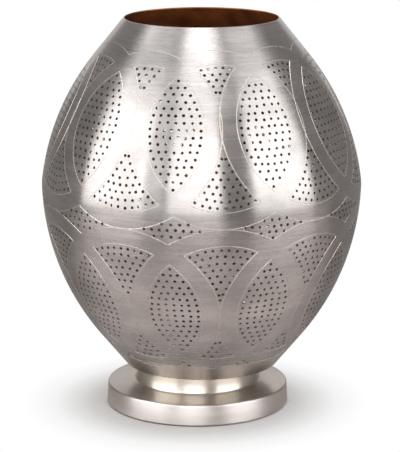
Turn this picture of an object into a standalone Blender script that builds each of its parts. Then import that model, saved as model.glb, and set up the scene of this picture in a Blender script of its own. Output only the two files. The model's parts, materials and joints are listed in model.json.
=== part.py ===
# Table lamp: a pierced globe of spun, silver-plated brass on a turned foot.
# Two spun halves are brazed together at a seam. A threaded tube clamps the body on the foot and
# carries the lampholder, and the bulb unscrews out of it.
# Metres, +Z up, origin on the floor under the middle of the body. The front is -Y.

from math import acos, atan, cos, floor, hypot, pi, radians, sin, tan

import bmesh
import bpy
from mathutils import Matrix, Vector

MM = 0.001

# Air between two pieces that seat on each other
SEAT = 0.3 * MM

# Body
LAMP_HEIGHT = 300.0 * MM
BODY_RADIUS = 121.84 * MM
BODY_WALL = 1.0 * MM
SEAM_HEIGHT = 173.7 * MM
SEAM_LAP = 4.0 * MM
UPPER_SEAM_ROUND = 33.4 * MM
UPPER_SEAM_SWEEP = radians(7.3)
UPPER_WALL_ROUND = 186.8 * MM
UPPER_WALL_SWEEP = radians(31.6)
LOWER_SEAM_ROUND = 45.0 * MM
LOWER_SEAM_SWEEP = radians(1.6)
LOWER_WALL_ROUND = 188.5 * MM
LOWER_WALL_SWEEP = radians(37.6)

# Pattern of struck circles, and the holes in the fields between them
CIRCLES_IN_ROW = 10
PATTERN_TURN = radians(7.8)
UPPER_CIRCLE_RISE = 57.7 * MM
UPPER_CIRCLE_OUTER = 66.8 * MM
UPPER_CIRCLE_INNER = 55.0 * MM
LOWER_CIRCLE_DROP = 74.8 * MM
LOWER_CIRCLE_OUTER = 65.8 * MM
LOWER_CIRCLE_INNER = 53.5 * MM
# The real holes are 2.1 mm wide and 5.5 mm apart. These are coarser and keep further from the lines,
# to keep the solid light.
HOLE_PITCH = 17.5 * MM
HOLE_DIAMETER = 7.6 * MM
HOLE_EDGE = 10.0 * MM
HOLE_SIDES = 5
ROW_FILL = 0.5
FIELD_STEPS = 120

# Foot. The body's floor was punched off its middle, so the foot stands to the left of the body.
FOOT_OFFSET = -3.2 * MM
FOOT_WALL = 1.2 * MM
FELT_THICKNESS = 1.0 * MM
FELT_INSET = 2.2 * MM
DISC_BOTTOM_RADIUS = 70.4 * MM
DISC_TOP_RADIUS = 69.7 * MM
DISC_HEIGHT = 16.4 * MM
DISC_ROUNDING = 1.6 * MM
DISC_RISE = 1.8 * MM
HEM_WIDTH = 6.0 * MM
COVE_RADIUS = 2.4 * MM
NECK_RADIUS = 47.5 * MM
NECK_WAIST = 0.7 * MM
NECK_TOP = 33.0 * MM
PLATE_THICKNESS = 3.0 * MM

# Cord inlet at the back of the foot
GROMMET_BORE = 5.2 * MM
GROMMET_WALL = 0.8 * MM
GROMMET_FLANGE = 1.0 * MM
GROMMET_LIP = 0.7 * MM

# Threaded tube and its fasteners
TUBE_DIAMETER = 10.0 * MM
TUBE_BORE = 7.5 * MM
TUBE_STICK_OUT = 1.0 * MM
TUBE_GRIP = 8.0 * MM
NUT_ACROSS = 14.0 * MM
NUT_THICKNESS = 3.0 * MM
LOCK_WASHER_RADIUS = 8.0 * MM
LOCK_WASHER_THICKNESS = 0.8 * MM
FLOOR_WASHER_RADIUS = 16.0 * MM
FLOOR_WASHER_THICKNESS = 1.5 * MM

# Lampholder for an E27 cap
HOLDER_RADIUS = 20.0 * MM
HOLDER_WALL = 1.2 * MM
HOLDER_NECK_RADIUS = 8.0 * MM
HOLDER_NECK_HEIGHT = 7.0 * MM
HOLDER_DOME_HEIGHT = 10.0 * MM
HOLDER_CAP_SKIRT = 8.0 * MM
HOLDER_SHELL_HEIGHT = 32.0 * MM
HOLDER_LIP_RADIUS = 16.5 * MM
INSERT_THICKNESS = 9.0 * MM
COLLAR_HEIGHT = 12.0 * MM
COLLAR_WALL = 2.2 * MM
SLEEVE_WALL = 0.5 * MM
SLEEVE_HEIGHT = 22.0 * MM
CONTACT_RADIUS = 4.5 * MM
CONTACT_THICKNESS = 1.4 * MM
TERMINAL_SPACING = 18.0 * MM
TERMINAL_RADIUS = 2.4 * MM
TERMINAL_HEIGHT = 3.0 * MM

# Bulb with an E27 cap and a pear-shaped glass
BULB_LENGTH = 105.0 * MM
BULB_CONTACT_RADIUS = 4.8 * MM
BULB_CONTACT_THICKNESS = 1.5 * MM
BULB_CAP_RADIUS = 13.0 * MM
BULB_CAP_WALL = 0.5 * MM
BULB_CAP_HEIGHT = 19.5 * MM
INSULATOR_HEIGHT = 4.0 * MM
GLASS_RADIUS = 30.0 * MM
GLASS_WALL = 0.8 * MM
GLASS_IN_CAP = 9.0 * MM
STEM_RADIUS = 3.0 * MM
STEM_HEIGHT = 26.0 * MM
FILAMENT_COUNT = 4
FILAMENT_LENGTH = 34.0 * MM
FILAMENT_RADIUS = 1.1 * MM
FILAMENT_RING = 9.0 * MM
FILAMENT_LEAN = 3.0 * MM
LEAD_RADIUS = 0.5 * MM
LEAD_RING_GAP = radians(18)

# Facets round a turned piece, by its size, and steps along its curves
BODY_SIDES = 40
FOOT_SIDES = 32
HOLDER_SIDES = 16
SMALL_SIDES = 10
RING_STEPS = 12
GLOBE_STEPS = 5
FLARE_STEPS = 3
DISC_ROUNDING_STEPS = 3
COVE_STEPS = 2
DOME_STEPS = 4
WELD_DISTANCE = 0.01 * MM

# A cutter runs this many wall thicknesses through the wall
CUTTER_DEPTH = 6


def clear_scene():
    for thing in list(bpy.data.objects):
        bpy.data.objects.remove(thing, do_unlink=True)


def collection(name):
    group = bpy.data.collections.new(name)
    bpy.context.scene.collection.children.link(group)
    return group


def metal_or_plastic(name, colour, roughness, metallic=0.0, see_through=0.0):
    material = bpy.data.materials.new(name)
    material.use_nodes = True
    shader = material.node_tree.nodes["Principled BSDF"]
    shader.inputs["Base Color"].default_value = (*colour, 1.0)
    shader.inputs["Roughness"].default_value = roughness
    shader.inputs["Metallic"].default_value = metallic
    shader.inputs["Transmission Weight"].default_value = see_through
    material.diffuse_color = (*colour, 1.0)
    return material


def add_object(name, data, group, material=None, centre_x=0.0):
    piece = bpy.data.objects.new(name, data)
    piece.location.x = centre_x
    group.objects.link(piece)
    if material:
        data.materials.append(material)
    return piece


def turned(name, outline, material, centre_x=0.0, sides=SMALL_SIDES, closed=True):
    # The outline runs down the outer side and back up inside. An open one starts and ends on the axis.
    count = len(outline)
    edges = [(k, k + 1) for k in range(count - 1)]
    if closed:
        edges.append((count - 1, 0))
    mesh = bpy.data.meshes.new(name)
    mesh.from_pydata([(r, 0.0, z) for r, z in outline], edges, [])
    piece = add_object(name, mesh, parts, material, centre_x)
    turn = piece.modifiers.new("Turn", "SCREW")
    turn.axis = "Z"
    turn.angle = 2 * pi
    turn.steps = sides
    turn.render_steps = sides
    turn.use_merge_vertices = True
    turn.merge_threshold = WELD_DISTANCE
    return piece


def disc_outline(radius, low, high):
    return [(0.0, high), (radius, high), (radius, low), (0.0, low)]


def ring_outline(outer, inner, low, high):
    return [(outer, high), (outer, low), (inner, low), (inner, high)]


def walled(outline, wall):
    # Closes an outer line with the line one wall thickness inside it.
    inner = []
    for k, (r, z) in enumerate(outline):
        before = outline[max(k - 1, 0)]
        after = outline[min(k + 1, len(outline) - 1)]
        inner.append(offset_corner(before, (r, z), after, wall))
    return outline + inner[::-1]


def offset_corner(before, corner, after, wall):
    # Moves a corner inwards by the wall, square to both runs that meet there.
    normals = []
    for start, end in ((before, corner), (corner, after)):
        run = (end[0] - start[0], end[1] - start[1])
        length = hypot(*run)
        if length > 0.0:
            normals.append((run[1] / length, -run[0] / length))
    first, last = normals[0], normals[-1]
    share = 1.0 + first[0] * last[0] + first[1] * last[1]
    return (corner[0] + wall * (first[0] + last[0]) / share,
            corner[1] + wall * (first[1] + last[1]) / share)


def hexagon_nut(name, low, bore_radius, material, centre_x):
    outline = bpy.data.curves.new(name, "CURVE")
    outline.dimensions = "2D"
    outline.fill_mode = "BOTH"
    outline.extrude = NUT_THICKNESS / 2
    corner = NUT_ACROSS / 2 / cos(pi / 6)
    for radius, sides in ((corner, 6), (bore_radius, SMALL_SIDES)):
        loop = outline.splines.new("POLY")
        loop.points.add(sides - 1)
        for k, point in enumerate(loop.points):
            angle = 2 * pi * k / sides
            point.co = (radius * cos(angle), radius * sin(angle), 0.0, 1.0)
        loop.use_cyclic_u = True
    nut = add_object(name, outline, parts, material, centre_x)
    nut.location.z = low + NUT_THICKNESS / 2
    return nut


def wire(name, points, radius, material, closed=False):
    path = bpy.data.curves.new(name, "CURVE")
    path.dimensions = "3D"
    path.bevel_depth = radius
    path.bevel_resolution = 0
    path.use_fill_caps = True
    line = path.splines.new("POLY")
    line.points.add(len(points) - 1)
    for point, place in zip(line.points, points):
        point.co = (*place, 1.0)
    line.use_cyclic_u = closed
    return add_object(name, path, parts, material, FOOT_OFFSET)


def pin_cutter(name, radius, depth, place, sides=SMALL_SIDES):
    tool = bmesh.new()
    bmesh.ops.create_cone(tool, cap_ends=True, segments=sides, radius1=radius, radius2=radius, depth=depth,
                          matrix=place)
    mesh = bpy.data.meshes.new(name)
    tool.to_mesh(mesh)
    tool.free()
    return add_object(name, mesh, cutters)


def cut(piece, cutter):
    cutter.hide_render = True
    cutter.display_type = "WIRE"
    hole = piece.modifiers.new("Cut " + cutter.name, "BOOLEAN")
    hole.object = cutter
    hole.operation = "DIFFERENCE"


# The body's outer line, from the seam to one end: two arcs and a straight cone.

def half_outline(upwards, arcs, end_height):
    r, z, lean = BODY_RADIUS, SEAM_HEIGHT, 0.0
    line = [(r, z)]
    for radius, sweep, steps in arcs:
        centre_r = r - radius * cos(lean)
        centre_z = z - upwards * radius * sin(lean)
        for k in range(1, steps + 1):
            angle = lean + sweep * k / steps
            line.append((centre_r + radius * cos(angle), centre_z + upwards * radius * sin(angle)))
        lean += sweep
        r, z = line[-1]
    line.append((r - abs(end_height - z) * tan(lean), end_height))
    return line


def upper_outline(seam_steps=1, wall_steps=5):
    arcs = [(UPPER_SEAM_ROUND, UPPER_SEAM_SWEEP, seam_steps),
            (UPPER_WALL_ROUND, UPPER_WALL_SWEEP, wall_steps)]
    return half_outline(1, arcs, LAMP_HEIGHT)


def lower_outline(seam_steps=1, wall_steps=5):
    arcs = [(LOWER_SEAM_ROUND, LOWER_SEAM_SWEEP, seam_steps),
            (LOWER_WALL_ROUND, LOWER_WALL_SWEEP, wall_steps)]
    return half_outline(-1, arcs, BODY_BOTTOM)


class WallLine:
    """A half's outer line, read by the distance along it from the seam."""

    def __init__(self, line):
        self.line = line
        self.reach = [0.0]
        for start, end in zip(line, line[1:]):
            self.reach.append(self.reach[-1] + hypot(end[0] - start[0], end[1] - start[1]))

    def at(self, distance):
        # Radius, height and the wall's outward direction there
        k = 1
        while k < len(self.reach) - 1 and self.reach[k] < distance:
            k += 1
        (r0, z0), (r1, z1) = self.line[k - 1], self.line[k]
        share = (distance - self.reach[k - 1]) / (self.reach[k] - self.reach[k - 1])
        run = Vector((r1 - r0, z1 - z0)).normalized()
        outward = Vector((abs(run.y), -run.x if run.y > 0 else run.x))
        return r0 + (r1 - r0) * share, z0 + (z1 - z0) * share, outward


class StruckRow:
    """A row of circles struck with dividers from centres spaced evenly round the wall."""

    def __init__(self, wall, centre_distance, outer, inner):
        self.wall = wall
        self.centre = centre_distance
        self.centre_r, self.centre_z, _ = wall.at(centre_distance)
        self.outer = outer
        self.inner = inner

    def reach(self, r, z, opening):
        # Half the angle that a circle of this opening of the dividers spans at a radius and a height.
        sides = r * r + self.centre_r ** 2 + (z - self.centre_z) ** 2 - opening ** 2
        cosine = sides / (2 * r * self.centre_r)
        return acos(max(min(cosine, 1.0), -1.0))


CIRCLE_STEP = 2 * pi / CIRCLES_IN_ROW


def lens_half_angle(rows, r, z):
    # Inside two neighbouring circles: the field lies midway between their centres.
    return rows[0].reach(r, z, rows[0].inner) - CIRCLE_STEP / 2


def horn_half_angle(rows, r, z):
    # Inside one circle and outside both neighbours: a curved triangle above and below the centre.
    return min(rows[0].reach(r, z, rows[0].inner), CIRCLE_STEP - rows[0].reach(r, z, rows[0].outer))


def gap_half_angle(rows, r, z):
    # Outside all circles: the field lies midway between their centres.
    return CIRCLE_STEP / 2 - max(row.reach(r, z, row.outer) for row in rows)


def field_holes(half_angle, rows, middle_angle, start, end):
    # Rows of holes a pitch apart, each row spread evenly between the field's sides
    wall = rows[0].wall
    places = [start + (end - start) * k / FIELD_STEPS for k in range(FIELD_STEPS + 1)]
    wide = []
    for place in places:
        r, z, _ = wall.at(place)
        if half_angle(rows, r, z) * r > HOLE_EDGE:
            wide.append(place)
    if not wide:
        return []
    count = round((wide[-1] - wide[0]) / (HOLE_PITCH * cos(pi / 6)))
    holes = []
    for k in range(count + 1):
        distance = wide[0] + (wide[-1] - wide[0]) * (k / count if count else 0.5)
        r, z, _ = wall.at(distance)
        room = half_angle(rows, r, z) * r - HOLE_EDGE
        gaps = floor(2 * max(room, 0.0) / HOLE_PITCH + ROW_FILL)
        for number in range(gaps + 1):
            across = (2 * number / gaps - 1) * room if gaps else 0.0
            holes.append((middle_angle + across / r, distance))
    return holes


def pattern_holes(rows, fields):
    # The same fields round the body: some lie over the circles' centres, some midway between them.
    holes = []
    for k in range(CIRCLES_IN_ROW):
        centre = PATTERN_TURN + CIRCLE_STEP * k
        for half_angle, between, start, end in fields:
            angle = centre + CIRCLE_STEP / 2 if between else centre
            used = rows if half_angle is gap_half_angle else rows[:1]
            holes += field_holes(half_angle, used, angle, start, end)
    return holes


def hole_cutter(name, holes, wall):
    # Short pins through the wall, square to it
    tool = bmesh.new()
    for angle, distance in holes:
        r, z, outward = wall.at(distance)
        axis = Vector((outward.x * sin(angle), -outward.x * cos(angle), outward.y))
        place = Vector((r * sin(angle), -r * cos(angle), z))
        turn = Vector((0, 0, 1)).rotation_difference(axis).to_matrix().to_4x4()
        bmesh.ops.create_cone(tool, cap_ends=True, segments=HOLE_SIDES, radius1=HOLE_DIAMETER / 2,
                              radius2=HOLE_DIAMETER / 2, depth=CUTTER_DEPTH * BODY_WALL,
                              matrix=Matrix.Translation(place) @ turn)
    mesh = bpy.data.meshes.new(name)
    tool.to_mesh(mesh)
    tool.free()
    return add_object(name, mesh, cutters)


clear_scene()
parts = collection("table_lamp")
cutters = collection("cutters")

silver = metal_or_plastic("silver_plated_brass", (0.62, 0.59, 0.56), 0.32, 1.0)
polished_silver = metal_or_plastic("polished_silver_plate", (0.70, 0.67, 0.62), 0.18, 1.0)
steel = metal_or_plastic("zinc_plated_steel", (0.55, 0.56, 0.58), 0.35, 1.0)
brass = metal_or_plastic("brass", (0.72, 0.55, 0.27), 0.3, 1.0)
felt = metal_or_plastic("felt", (0.03, 0.05, 0.04), 0.95)
rubber = metal_or_plastic("rubber", (0.02, 0.02, 0.02), 0.7)
phenolic = metal_or_plastic("black_phenolic", (0.02, 0.02, 0.022), 0.35)
porcelain = metal_or_plastic("porcelain", (0.85, 0.84, 0.80), 0.25)
nickel = metal_or_plastic("nickel_plated_cap", (0.66, 0.64, 0.60), 0.25, 1.0)
clear_glass = metal_or_plastic("clear_glass", (1.0, 1.0, 1.0), 0.02, 0.0, 1.0)
phosphor = metal_or_plastic("filament_phosphor", (0.85, 0.62, 0.16), 0.6)

# Heights up the stack, each from the piece below it
HEM_BOTTOM = FELT_THICKNESS + SEAT
BODY_BOTTOM = NECK_TOP + SEAT
FLOOR_TOP = BODY_BOTTOM + BODY_WALL
FLOOR_WASHER_LOW = FLOOR_TOP + SEAT
UPPER_NUT_LOW = FLOOR_WASHER_LOW + FLOOR_WASHER_THICKNESS + SEAT
HOLDER_LOW = UPPER_NUT_LOW + NUT_THICKNESS + SEAT
PLATE_TOP = DISC_HEIGHT - FOOT_WALL - SEAT
PLATE_LOW = PLATE_TOP - PLATE_THICKNESS
LOCK_WASHER_LOW = PLATE_LOW - SEAT - LOCK_WASHER_THICKNESS
LOWER_NUT_LOW = LOCK_WASHER_LOW - SEAT - NUT_THICKNESS
TUBE_LOW = LOWER_NUT_LOW - TUBE_STICK_OUT
TUBE_TOP = HOLDER_LOW + TUBE_GRIP
TUBE_RADIUS = TUBE_DIAMETER / 2
TUBE_HOLE = TUBE_RADIUS + SEAT

DOME_TOP = HOLDER_LOW + HOLDER_NECK_HEIGHT + HOLDER_DOME_HEIGHT
CAP_TOP = DOME_TOP + HOLDER_CAP_SKIRT
INSERT_LOW = CAP_TOP + SEAT - INSERT_THICKNESS
INSERT_TOP = INSERT_LOW + INSERT_THICKNESS
SHELL_LOW = CAP_TOP + SEAT
SHELL_TOP = SHELL_LOW + HOLDER_SHELL_HEIGHT
BULB_LOW = INSERT_TOP + SEAT + CONTACT_THICKNESS + SEAT
INSULATOR_LOW = BULB_LOW + BULB_CONTACT_THICKNESS + SEAT
BULB_CAP_LOW = INSULATOR_LOW + INSULATOR_HEIGHT + SEAT
BULB_CAP_TOP = BULB_CAP_LOW + BULB_CAP_HEIGHT
BULB_TOP = BULB_LOW + BULB_LENGTH
SLEEVE_BORE = BULB_CAP_RADIUS + SEAT

# Body
upper_wall = WallLine(upper_outline(seam_steps=8, wall_steps=32))
lower_wall = WallLine(lower_outline(seam_steps=8, wall_steps=32))

upper_line = upper_outline()
upper_line[0] = (BODY_RADIUS, SEAM_HEIGHT + SEAT / 2)
upper_shell = turned("upper_shell", walled(upper_line[::-1], BODY_WALL), silver, sides=BODY_SIDES)

lap_radius = BODY_RADIUS - BODY_WALL - SEAT
lap_bend = BODY_WALL + SEAT
lower_line = lower_outline()[1:]
lower_line = [(lap_radius, SEAM_HEIGHT + SEAM_LAP), (lap_radius, SEAM_HEIGHT - SEAT / 2),
              (BODY_RADIUS, SEAM_HEIGHT - SEAT / 2 - lap_bend)] + lower_line[1:]
lower_line.append((0.0, BODY_BOTTOM))
lower_wall_line = walled(lower_line, BODY_WALL)
floor_middle = len(lower_line)
lower_shell = turned("lower_shell", lower_wall_line[floor_middle:] + lower_wall_line[:floor_middle], silver,
                     sides=BODY_SIDES, closed=False)
cut(lower_shell, pin_cutter("floor_hole", TUBE_HOLE, CUTTER_DEPTH * BODY_WALL,
                            Matrix.Translation((FOOT_OFFSET, 0.0, BODY_BOTTOM))))

upper_row = StruckRow(upper_wall, UPPER_CIRCLE_RISE, UPPER_CIRCLE_OUTER, UPPER_CIRCLE_INNER)
lower_row = StruckRow(lower_wall, LOWER_CIRCLE_DROP, LOWER_CIRCLE_OUTER, LOWER_CIRCLE_INNER)
horn_start = HOLE_PITCH / 2
upper_holes = pattern_holes([upper_row, lower_row], [
    (lens_half_angle, True, 0.0, upper_wall.reach[-1]),
    (horn_half_angle, False, SEAM_LAP + HOLE_EDGE, upper_row.centre - horn_start),
    (horn_half_angle, False, upper_row.centre + horn_start, upper_wall.reach[-1]),
])
low_gap_start = lower_row.centre + lower_row.inner
low_gap_end = lower_row.centre + lower_row.outer - HOLE_EDGE
lower_holes = pattern_holes([lower_row, upper_row], [
    (lens_half_angle, True, 0.0, lower_wall.reach[-1]),
    (horn_half_angle, False, 0.0, lower_row.centre - horn_start),
    (horn_half_angle, False, lower_row.centre + horn_start, lower_wall.reach[-1]),
    (gap_half_angle, True, lap_bend + HOLE_EDGE, lower_row.centre - lower_row.inner),
    (gap_half_angle, True, low_gap_start, low_gap_end),
])
cut(upper_shell, hole_cutter("upper_holes", upper_holes, upper_wall))
cut(lower_shell, hole_cutter("lower_holes", lower_holes, lower_wall))

# Foot: a neck, a cove and a disc, spun in one
foot_disc_top = DISC_HEIGHT + DISC_RISE
cove_top = foot_disc_top + COVE_RADIUS
neck_middle = (cove_top + NECK_TOP) / 2
foot_outside = [
    (TUBE_HOLE, NECK_TOP),
    (NECK_RADIUS - FOOT_WALL, NECK_TOP),
    (NECK_RADIUS, NECK_TOP - FOOT_WALL),
    (NECK_RADIUS - NECK_WAIST, neck_middle),
]
for step in range(COVE_STEPS + 1):
    angle = pi / 2 * step / COVE_STEPS
    foot_outside.append((NECK_RADIUS + COVE_RADIUS * (1 - cos(angle)), cove_top - COVE_RADIUS * sin(angle)))
for step in range(DISC_ROUNDING_STEPS + 1):
    angle = pi / 2 * (1 - step / DISC_ROUNDING_STEPS)
    foot_outside.append((DISC_TOP_RADIUS - DISC_ROUNDING * (1 - cos(angle)),
                         DISC_HEIGHT - DISC_ROUNDING * (1 - sin(angle))))
foot_outside += [(DISC_BOTTOM_RADIUS, HEM_BOTTOM), (DISC_BOTTOM_RADIUS - HEM_WIDTH, HEM_BOTTOM)]
hem_top = HEM_BOTTOM + FOOT_WALL
foot_inside = [
    (DISC_BOTTOM_RADIUS - HEM_WIDTH, hem_top),
    (DISC_BOTTOM_RADIUS - FOOT_WALL, hem_top),
    (DISC_TOP_RADIUS - FOOT_WALL, DISC_HEIGHT - FOOT_WALL),
    (NECK_RADIUS - FOOT_WALL, foot_disc_top - FOOT_WALL),
    (NECK_RADIUS - NECK_WAIST - FOOT_WALL, neck_middle),
    (NECK_RADIUS - FOOT_WALL, NECK_TOP - FOOT_WALL),
    (TUBE_HOLE, NECK_TOP - FOOT_WALL),
]
foot_shell = turned("foot_shell", foot_outside + foot_inside, polished_silver, FOOT_OFFSET, FOOT_SIDES)

side_slant = (DISC_BOTTOM_RADIUS - DISC_TOP_RADIUS) / (DISC_HEIGHT - DISC_ROUNDING - HEM_BOTTOM)


def side_radius(height):
    # The disc's slanting side
    return DISC_BOTTOM_RADIUS - side_slant * (height - HEM_BOTTOM)


# The cord inlet's inner flange clears the facets beside it, and the weight stops short of the flange.
grommet_lip_radius = GROMMET_BORE / 2 + GROMMET_WALL + GROMMET_LIP
facet_fall = grommet_lip_radius * tan(pi / FOOT_SIDES)
flange_low = -FOOT_WALL - facet_fall - SEAT
inlet_reach = (GROMMET_FLANGE - flange_low) * hypot(1.0, side_slant)
plate_radius = min(side_radius(PLATE_LOW), side_radius(PLATE_TOP)) - inlet_reach - SEAT
turned("base_plate", ring_outline(plate_radius, TUBE_HOLE, PLATE_LOW, PLATE_TOP), steel, FOOT_OFFSET,
       FOOT_SIDES)
turned("felt_pad", disc_outline(DISC_BOTTOM_RADIUS - FELT_INSET, 0.0, FELT_THICKNESS), felt, FOOT_OFFSET,
       FOOT_SIDES, closed=False)

# Cord inlet, square to the slanting side of the disc
grommet_height = hem_top + 2 * SEAT + grommet_lip_radius
grommet_turn = Matrix.Rotation(atan(side_slant) - pi / 2, 4, "X")
grommet_place = Matrix.Translation((FOOT_OFFSET, side_radius(grommet_height), grommet_height)) @ grommet_turn
grommet_waist = GROMMET_BORE / 2 + GROMMET_WALL
grommet = turned("cord_grommet", [
    (grommet_lip_radius, SEAT + GROMMET_FLANGE),
    (grommet_lip_radius, SEAT),
    (grommet_waist, SEAT),
    (grommet_waist, flange_low),
    (grommet_lip_radius, flange_low),
    (grommet_lip_radius, flange_low - GROMMET_FLANGE),
    (GROMMET_BORE / 2, flange_low - GROMMET_FLANGE),
    (GROMMET_BORE / 2, SEAT + GROMMET_FLANGE),
], rubber)
grommet.matrix_world = grommet_place
cut(foot_shell, pin_cutter("cord_inlet", grommet_waist + SEAT, CUTTER_DEPTH * FOOT_WALL, grommet_place))

# Threaded tube, which clamps the body's floor, the neck and the weight together
turned("threaded_tube", ring_outline(TUBE_RADIUS, TUBE_BORE / 2, TUBE_LOW, TUBE_TOP), steel, FOOT_OFFSET)
turned("lock_washer", ring_outline(LOCK_WASHER_RADIUS, TUBE_HOLE, LOCK_WASHER_LOW,
                                   LOCK_WASHER_LOW + LOCK_WASHER_THICKNESS), steel, FOOT_OFFSET)
turned("floor_washer", ring_outline(FLOOR_WASHER_RADIUS, TUBE_HOLE, FLOOR_WASHER_LOW,
                                    FLOOR_WASHER_LOW + FLOOR_WASHER_THICKNESS), steel,
       FOOT_OFFSET, HOLDER_SIDES)
hexagon_nut("lower_nut", LOWER_NUT_LOW, TUBE_HOLE, steel, FOOT_OFFSET)
hexagon_nut("upper_nut", UPPER_NUT_LOW, TUBE_HOLE, steel, FOOT_OFFSET)

# Lampholder
dome_low = HOLDER_LOW + HOLDER_NECK_HEIGHT
dome_rise = DOME_TOP - dome_low
dome_spread = HOLDER_RADIUS - HOLDER_NECK_RADIUS


def dome_line(wall):
    # Quarter of an ellipse from the skirt down to the neck
    line = []
    for step in range(DOME_STEPS + 1):
        angle = pi / 2 * step / DOME_STEPS
        line.append((HOLDER_NECK_RADIUS + dome_spread * cos(angle) - wall * cos(angle),
                     DOME_TOP - dome_rise * sin(angle) + wall * sin(angle)))
    return line


holder_bore = HOLDER_RADIUS - HOLDER_WALL
cap_foot = [(HOLDER_NECK_RADIUS, HOLDER_LOW), (TUBE_HOLE, HOLDER_LOW)]
cap_outside = [(HOLDER_RADIUS, CAP_TOP)] + dome_line(0.0) + cap_foot
cap_inside = [(TUBE_HOLE, dome_low + HOLDER_WALL)] + dome_line(HOLDER_WALL)[-2::-1] + [(holder_bore, CAP_TOP)]
turned("holder_cap", cap_outside + cap_inside, phenolic, FOOT_OFFSET, HOLDER_SIDES)

collar_radius = SLEEVE_BORE + SLEEVE_WALL + SEAT
insert_radius = holder_bore - SEAT
turned("holder_insert", [
    (0.0, INSERT_TOP),
    (collar_radius, INSERT_TOP),
    (collar_radius, INSERT_TOP + COLLAR_HEIGHT),
    (collar_radius + COLLAR_WALL, INSERT_TOP + COLLAR_HEIGHT),
    (collar_radius + COLLAR_WALL, INSERT_TOP),
    (insert_radius, INSERT_TOP),
    (insert_radius, INSERT_LOW),
    (0.0, INSERT_LOW),
], porcelain, FOOT_OFFSET, HOLDER_SIDES, closed=False)

turned("holder_shell", [
    (HOLDER_RADIUS, SHELL_TOP),
    (HOLDER_RADIUS, SHELL_LOW),
    (holder_bore, SHELL_LOW),
    (holder_bore, SHELL_TOP - HOLDER_WALL),
    (HOLDER_LIP_RADIUS, SHELL_TOP - HOLDER_WALL),
    (HOLDER_LIP_RADIUS, SHELL_TOP),
], phenolic, FOOT_OFFSET, HOLDER_SIDES)

sleeve_low = INSERT_TOP + SEAT
turned("thread_sleeve", ring_outline(SLEEVE_BORE + SLEEVE_WALL, SLEEVE_BORE, sleeve_low,
                                     sleeve_low + SLEEVE_HEIGHT), brass, FOOT_OFFSET, HOLDER_SIDES)
turned("centre_contact", disc_outline(CONTACT_RADIUS, sleeve_low, sleeve_low + CONTACT_THICKNESS), brass,
       FOOT_OFFSET, closed=False)
for number, side in ((1, -1), (2, 1)):
    turned("terminal_screw_%d" % number,
           disc_outline(TERMINAL_RADIUS, INSERT_LOW - SEAT - TERMINAL_HEIGHT, INSERT_LOW - SEAT), brass,
           FOOT_OFFSET + side * TERMINAL_SPACING / 2, closed=False)

# Bulb
insulator_top = INSULATOR_LOW + INSULATOR_HEIGHT
turned("bulb_contact", disc_outline(BULB_CONTACT_RADIUS, BULB_LOW, BULB_LOW + BULB_CONTACT_THICKNESS), nickel,
       FOOT_OFFSET, closed=False)
turned("bulb_insulator", [
    (0.0, insulator_top),
    (BULB_CAP_RADIUS - BULB_CAP_WALL, insulator_top),
    (BULB_CONTACT_RADIUS, INSULATOR_LOW),
    (0.0, INSULATOR_LOW),
], phenolic, FOOT_OFFSET, HOLDER_SIDES, closed=False)
turned("bulb_cap", ring_outline(BULB_CAP_RADIUS, BULB_CAP_RADIUS - BULB_CAP_WALL, BULB_CAP_LOW, BULB_CAP_TOP),
       nickel, FOOT_OFFSET, HOLDER_SIDES)

glass_low = BULB_CAP_TOP - GLASS_IN_CAP
glass_neck = BULB_CAP_RADIUS - BULB_CAP_WALL - SEAT
globe_middle = BULB_TOP - GLASS_RADIUS
globe_end = radians(-30)


def glass_line(wall):
    # Pear shape: most of a globe, then a curve that runs in to the neck
    radius = GLASS_RADIUS - wall
    line = [(0.0, BULB_TOP - wall)]
    for step in range(1, GLOBE_STEPS + 1):
        angle = pi / 2 + (globe_end - pi / 2) * step / GLOBE_STEPS
        line.append((radius * cos(angle), globe_middle + radius * sin(angle)))
    start = Vector(line[-1])
    end = Vector((glass_neck - wall, BULB_CAP_TOP))
    reach = (start.y - end.y) / 2
    bend = start + reach * Vector((sin(globe_end), -cos(globe_end)))
    straight = end + Vector((0.0, reach))
    for step in range(1, FLARE_STEPS + 1):
        t = step / FLARE_STEPS
        u = 1 - t
        point = u ** 3 * start + 3 * t * u ** 2 * bend + 3 * t * t * u * straight + t ** 3 * end
        line.append((point.x, point.y))
    line.append((glass_neck - wall, glass_low))
    return line


turned("bulb_glass", glass_line(0.0) + glass_line(GLASS_WALL)[::-1], clear_glass, FOOT_OFFSET, HOLDER_SIDES,
       closed=False)

stem_flare = glass_neck - GLASS_WALL - SEAT
stem_top = BULB_CAP_TOP + STEM_HEIGHT
turned("glass_stem", [
    (0.0, stem_top),
    (STEM_RADIUS, stem_top),
    (STEM_RADIUS, BULB_CAP_TOP),
    (stem_flare, glass_low + GLASS_WALL),
    (stem_flare, glass_low),
    (0.0, glass_low),
], clear_glass, FOOT_OFFSET, closed=False)

# The filaments stand between two rings of lead wire, the lower one fixed to the stem's side.
upper_ring = FILAMENT_RING - FILAMENT_LEAN
filament_low = stem_top - STEM_RADIUS - LEAD_RADIUS
filament_high = filament_low + FILAMENT_LENGTH + 2 * (LEAD_RADIUS + SEAT)
ring_turn = 2 * pi - LEAD_RING_GAP


def ring_points(radius, height):
    # Most of a ring, so that its end stays clear of its start
    return [(radius * cos(ring_turn * k / RING_STEPS), radius * sin(ring_turn * k / RING_STEPS), height)
            for k in range(RING_STEPS + 1)]


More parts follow.
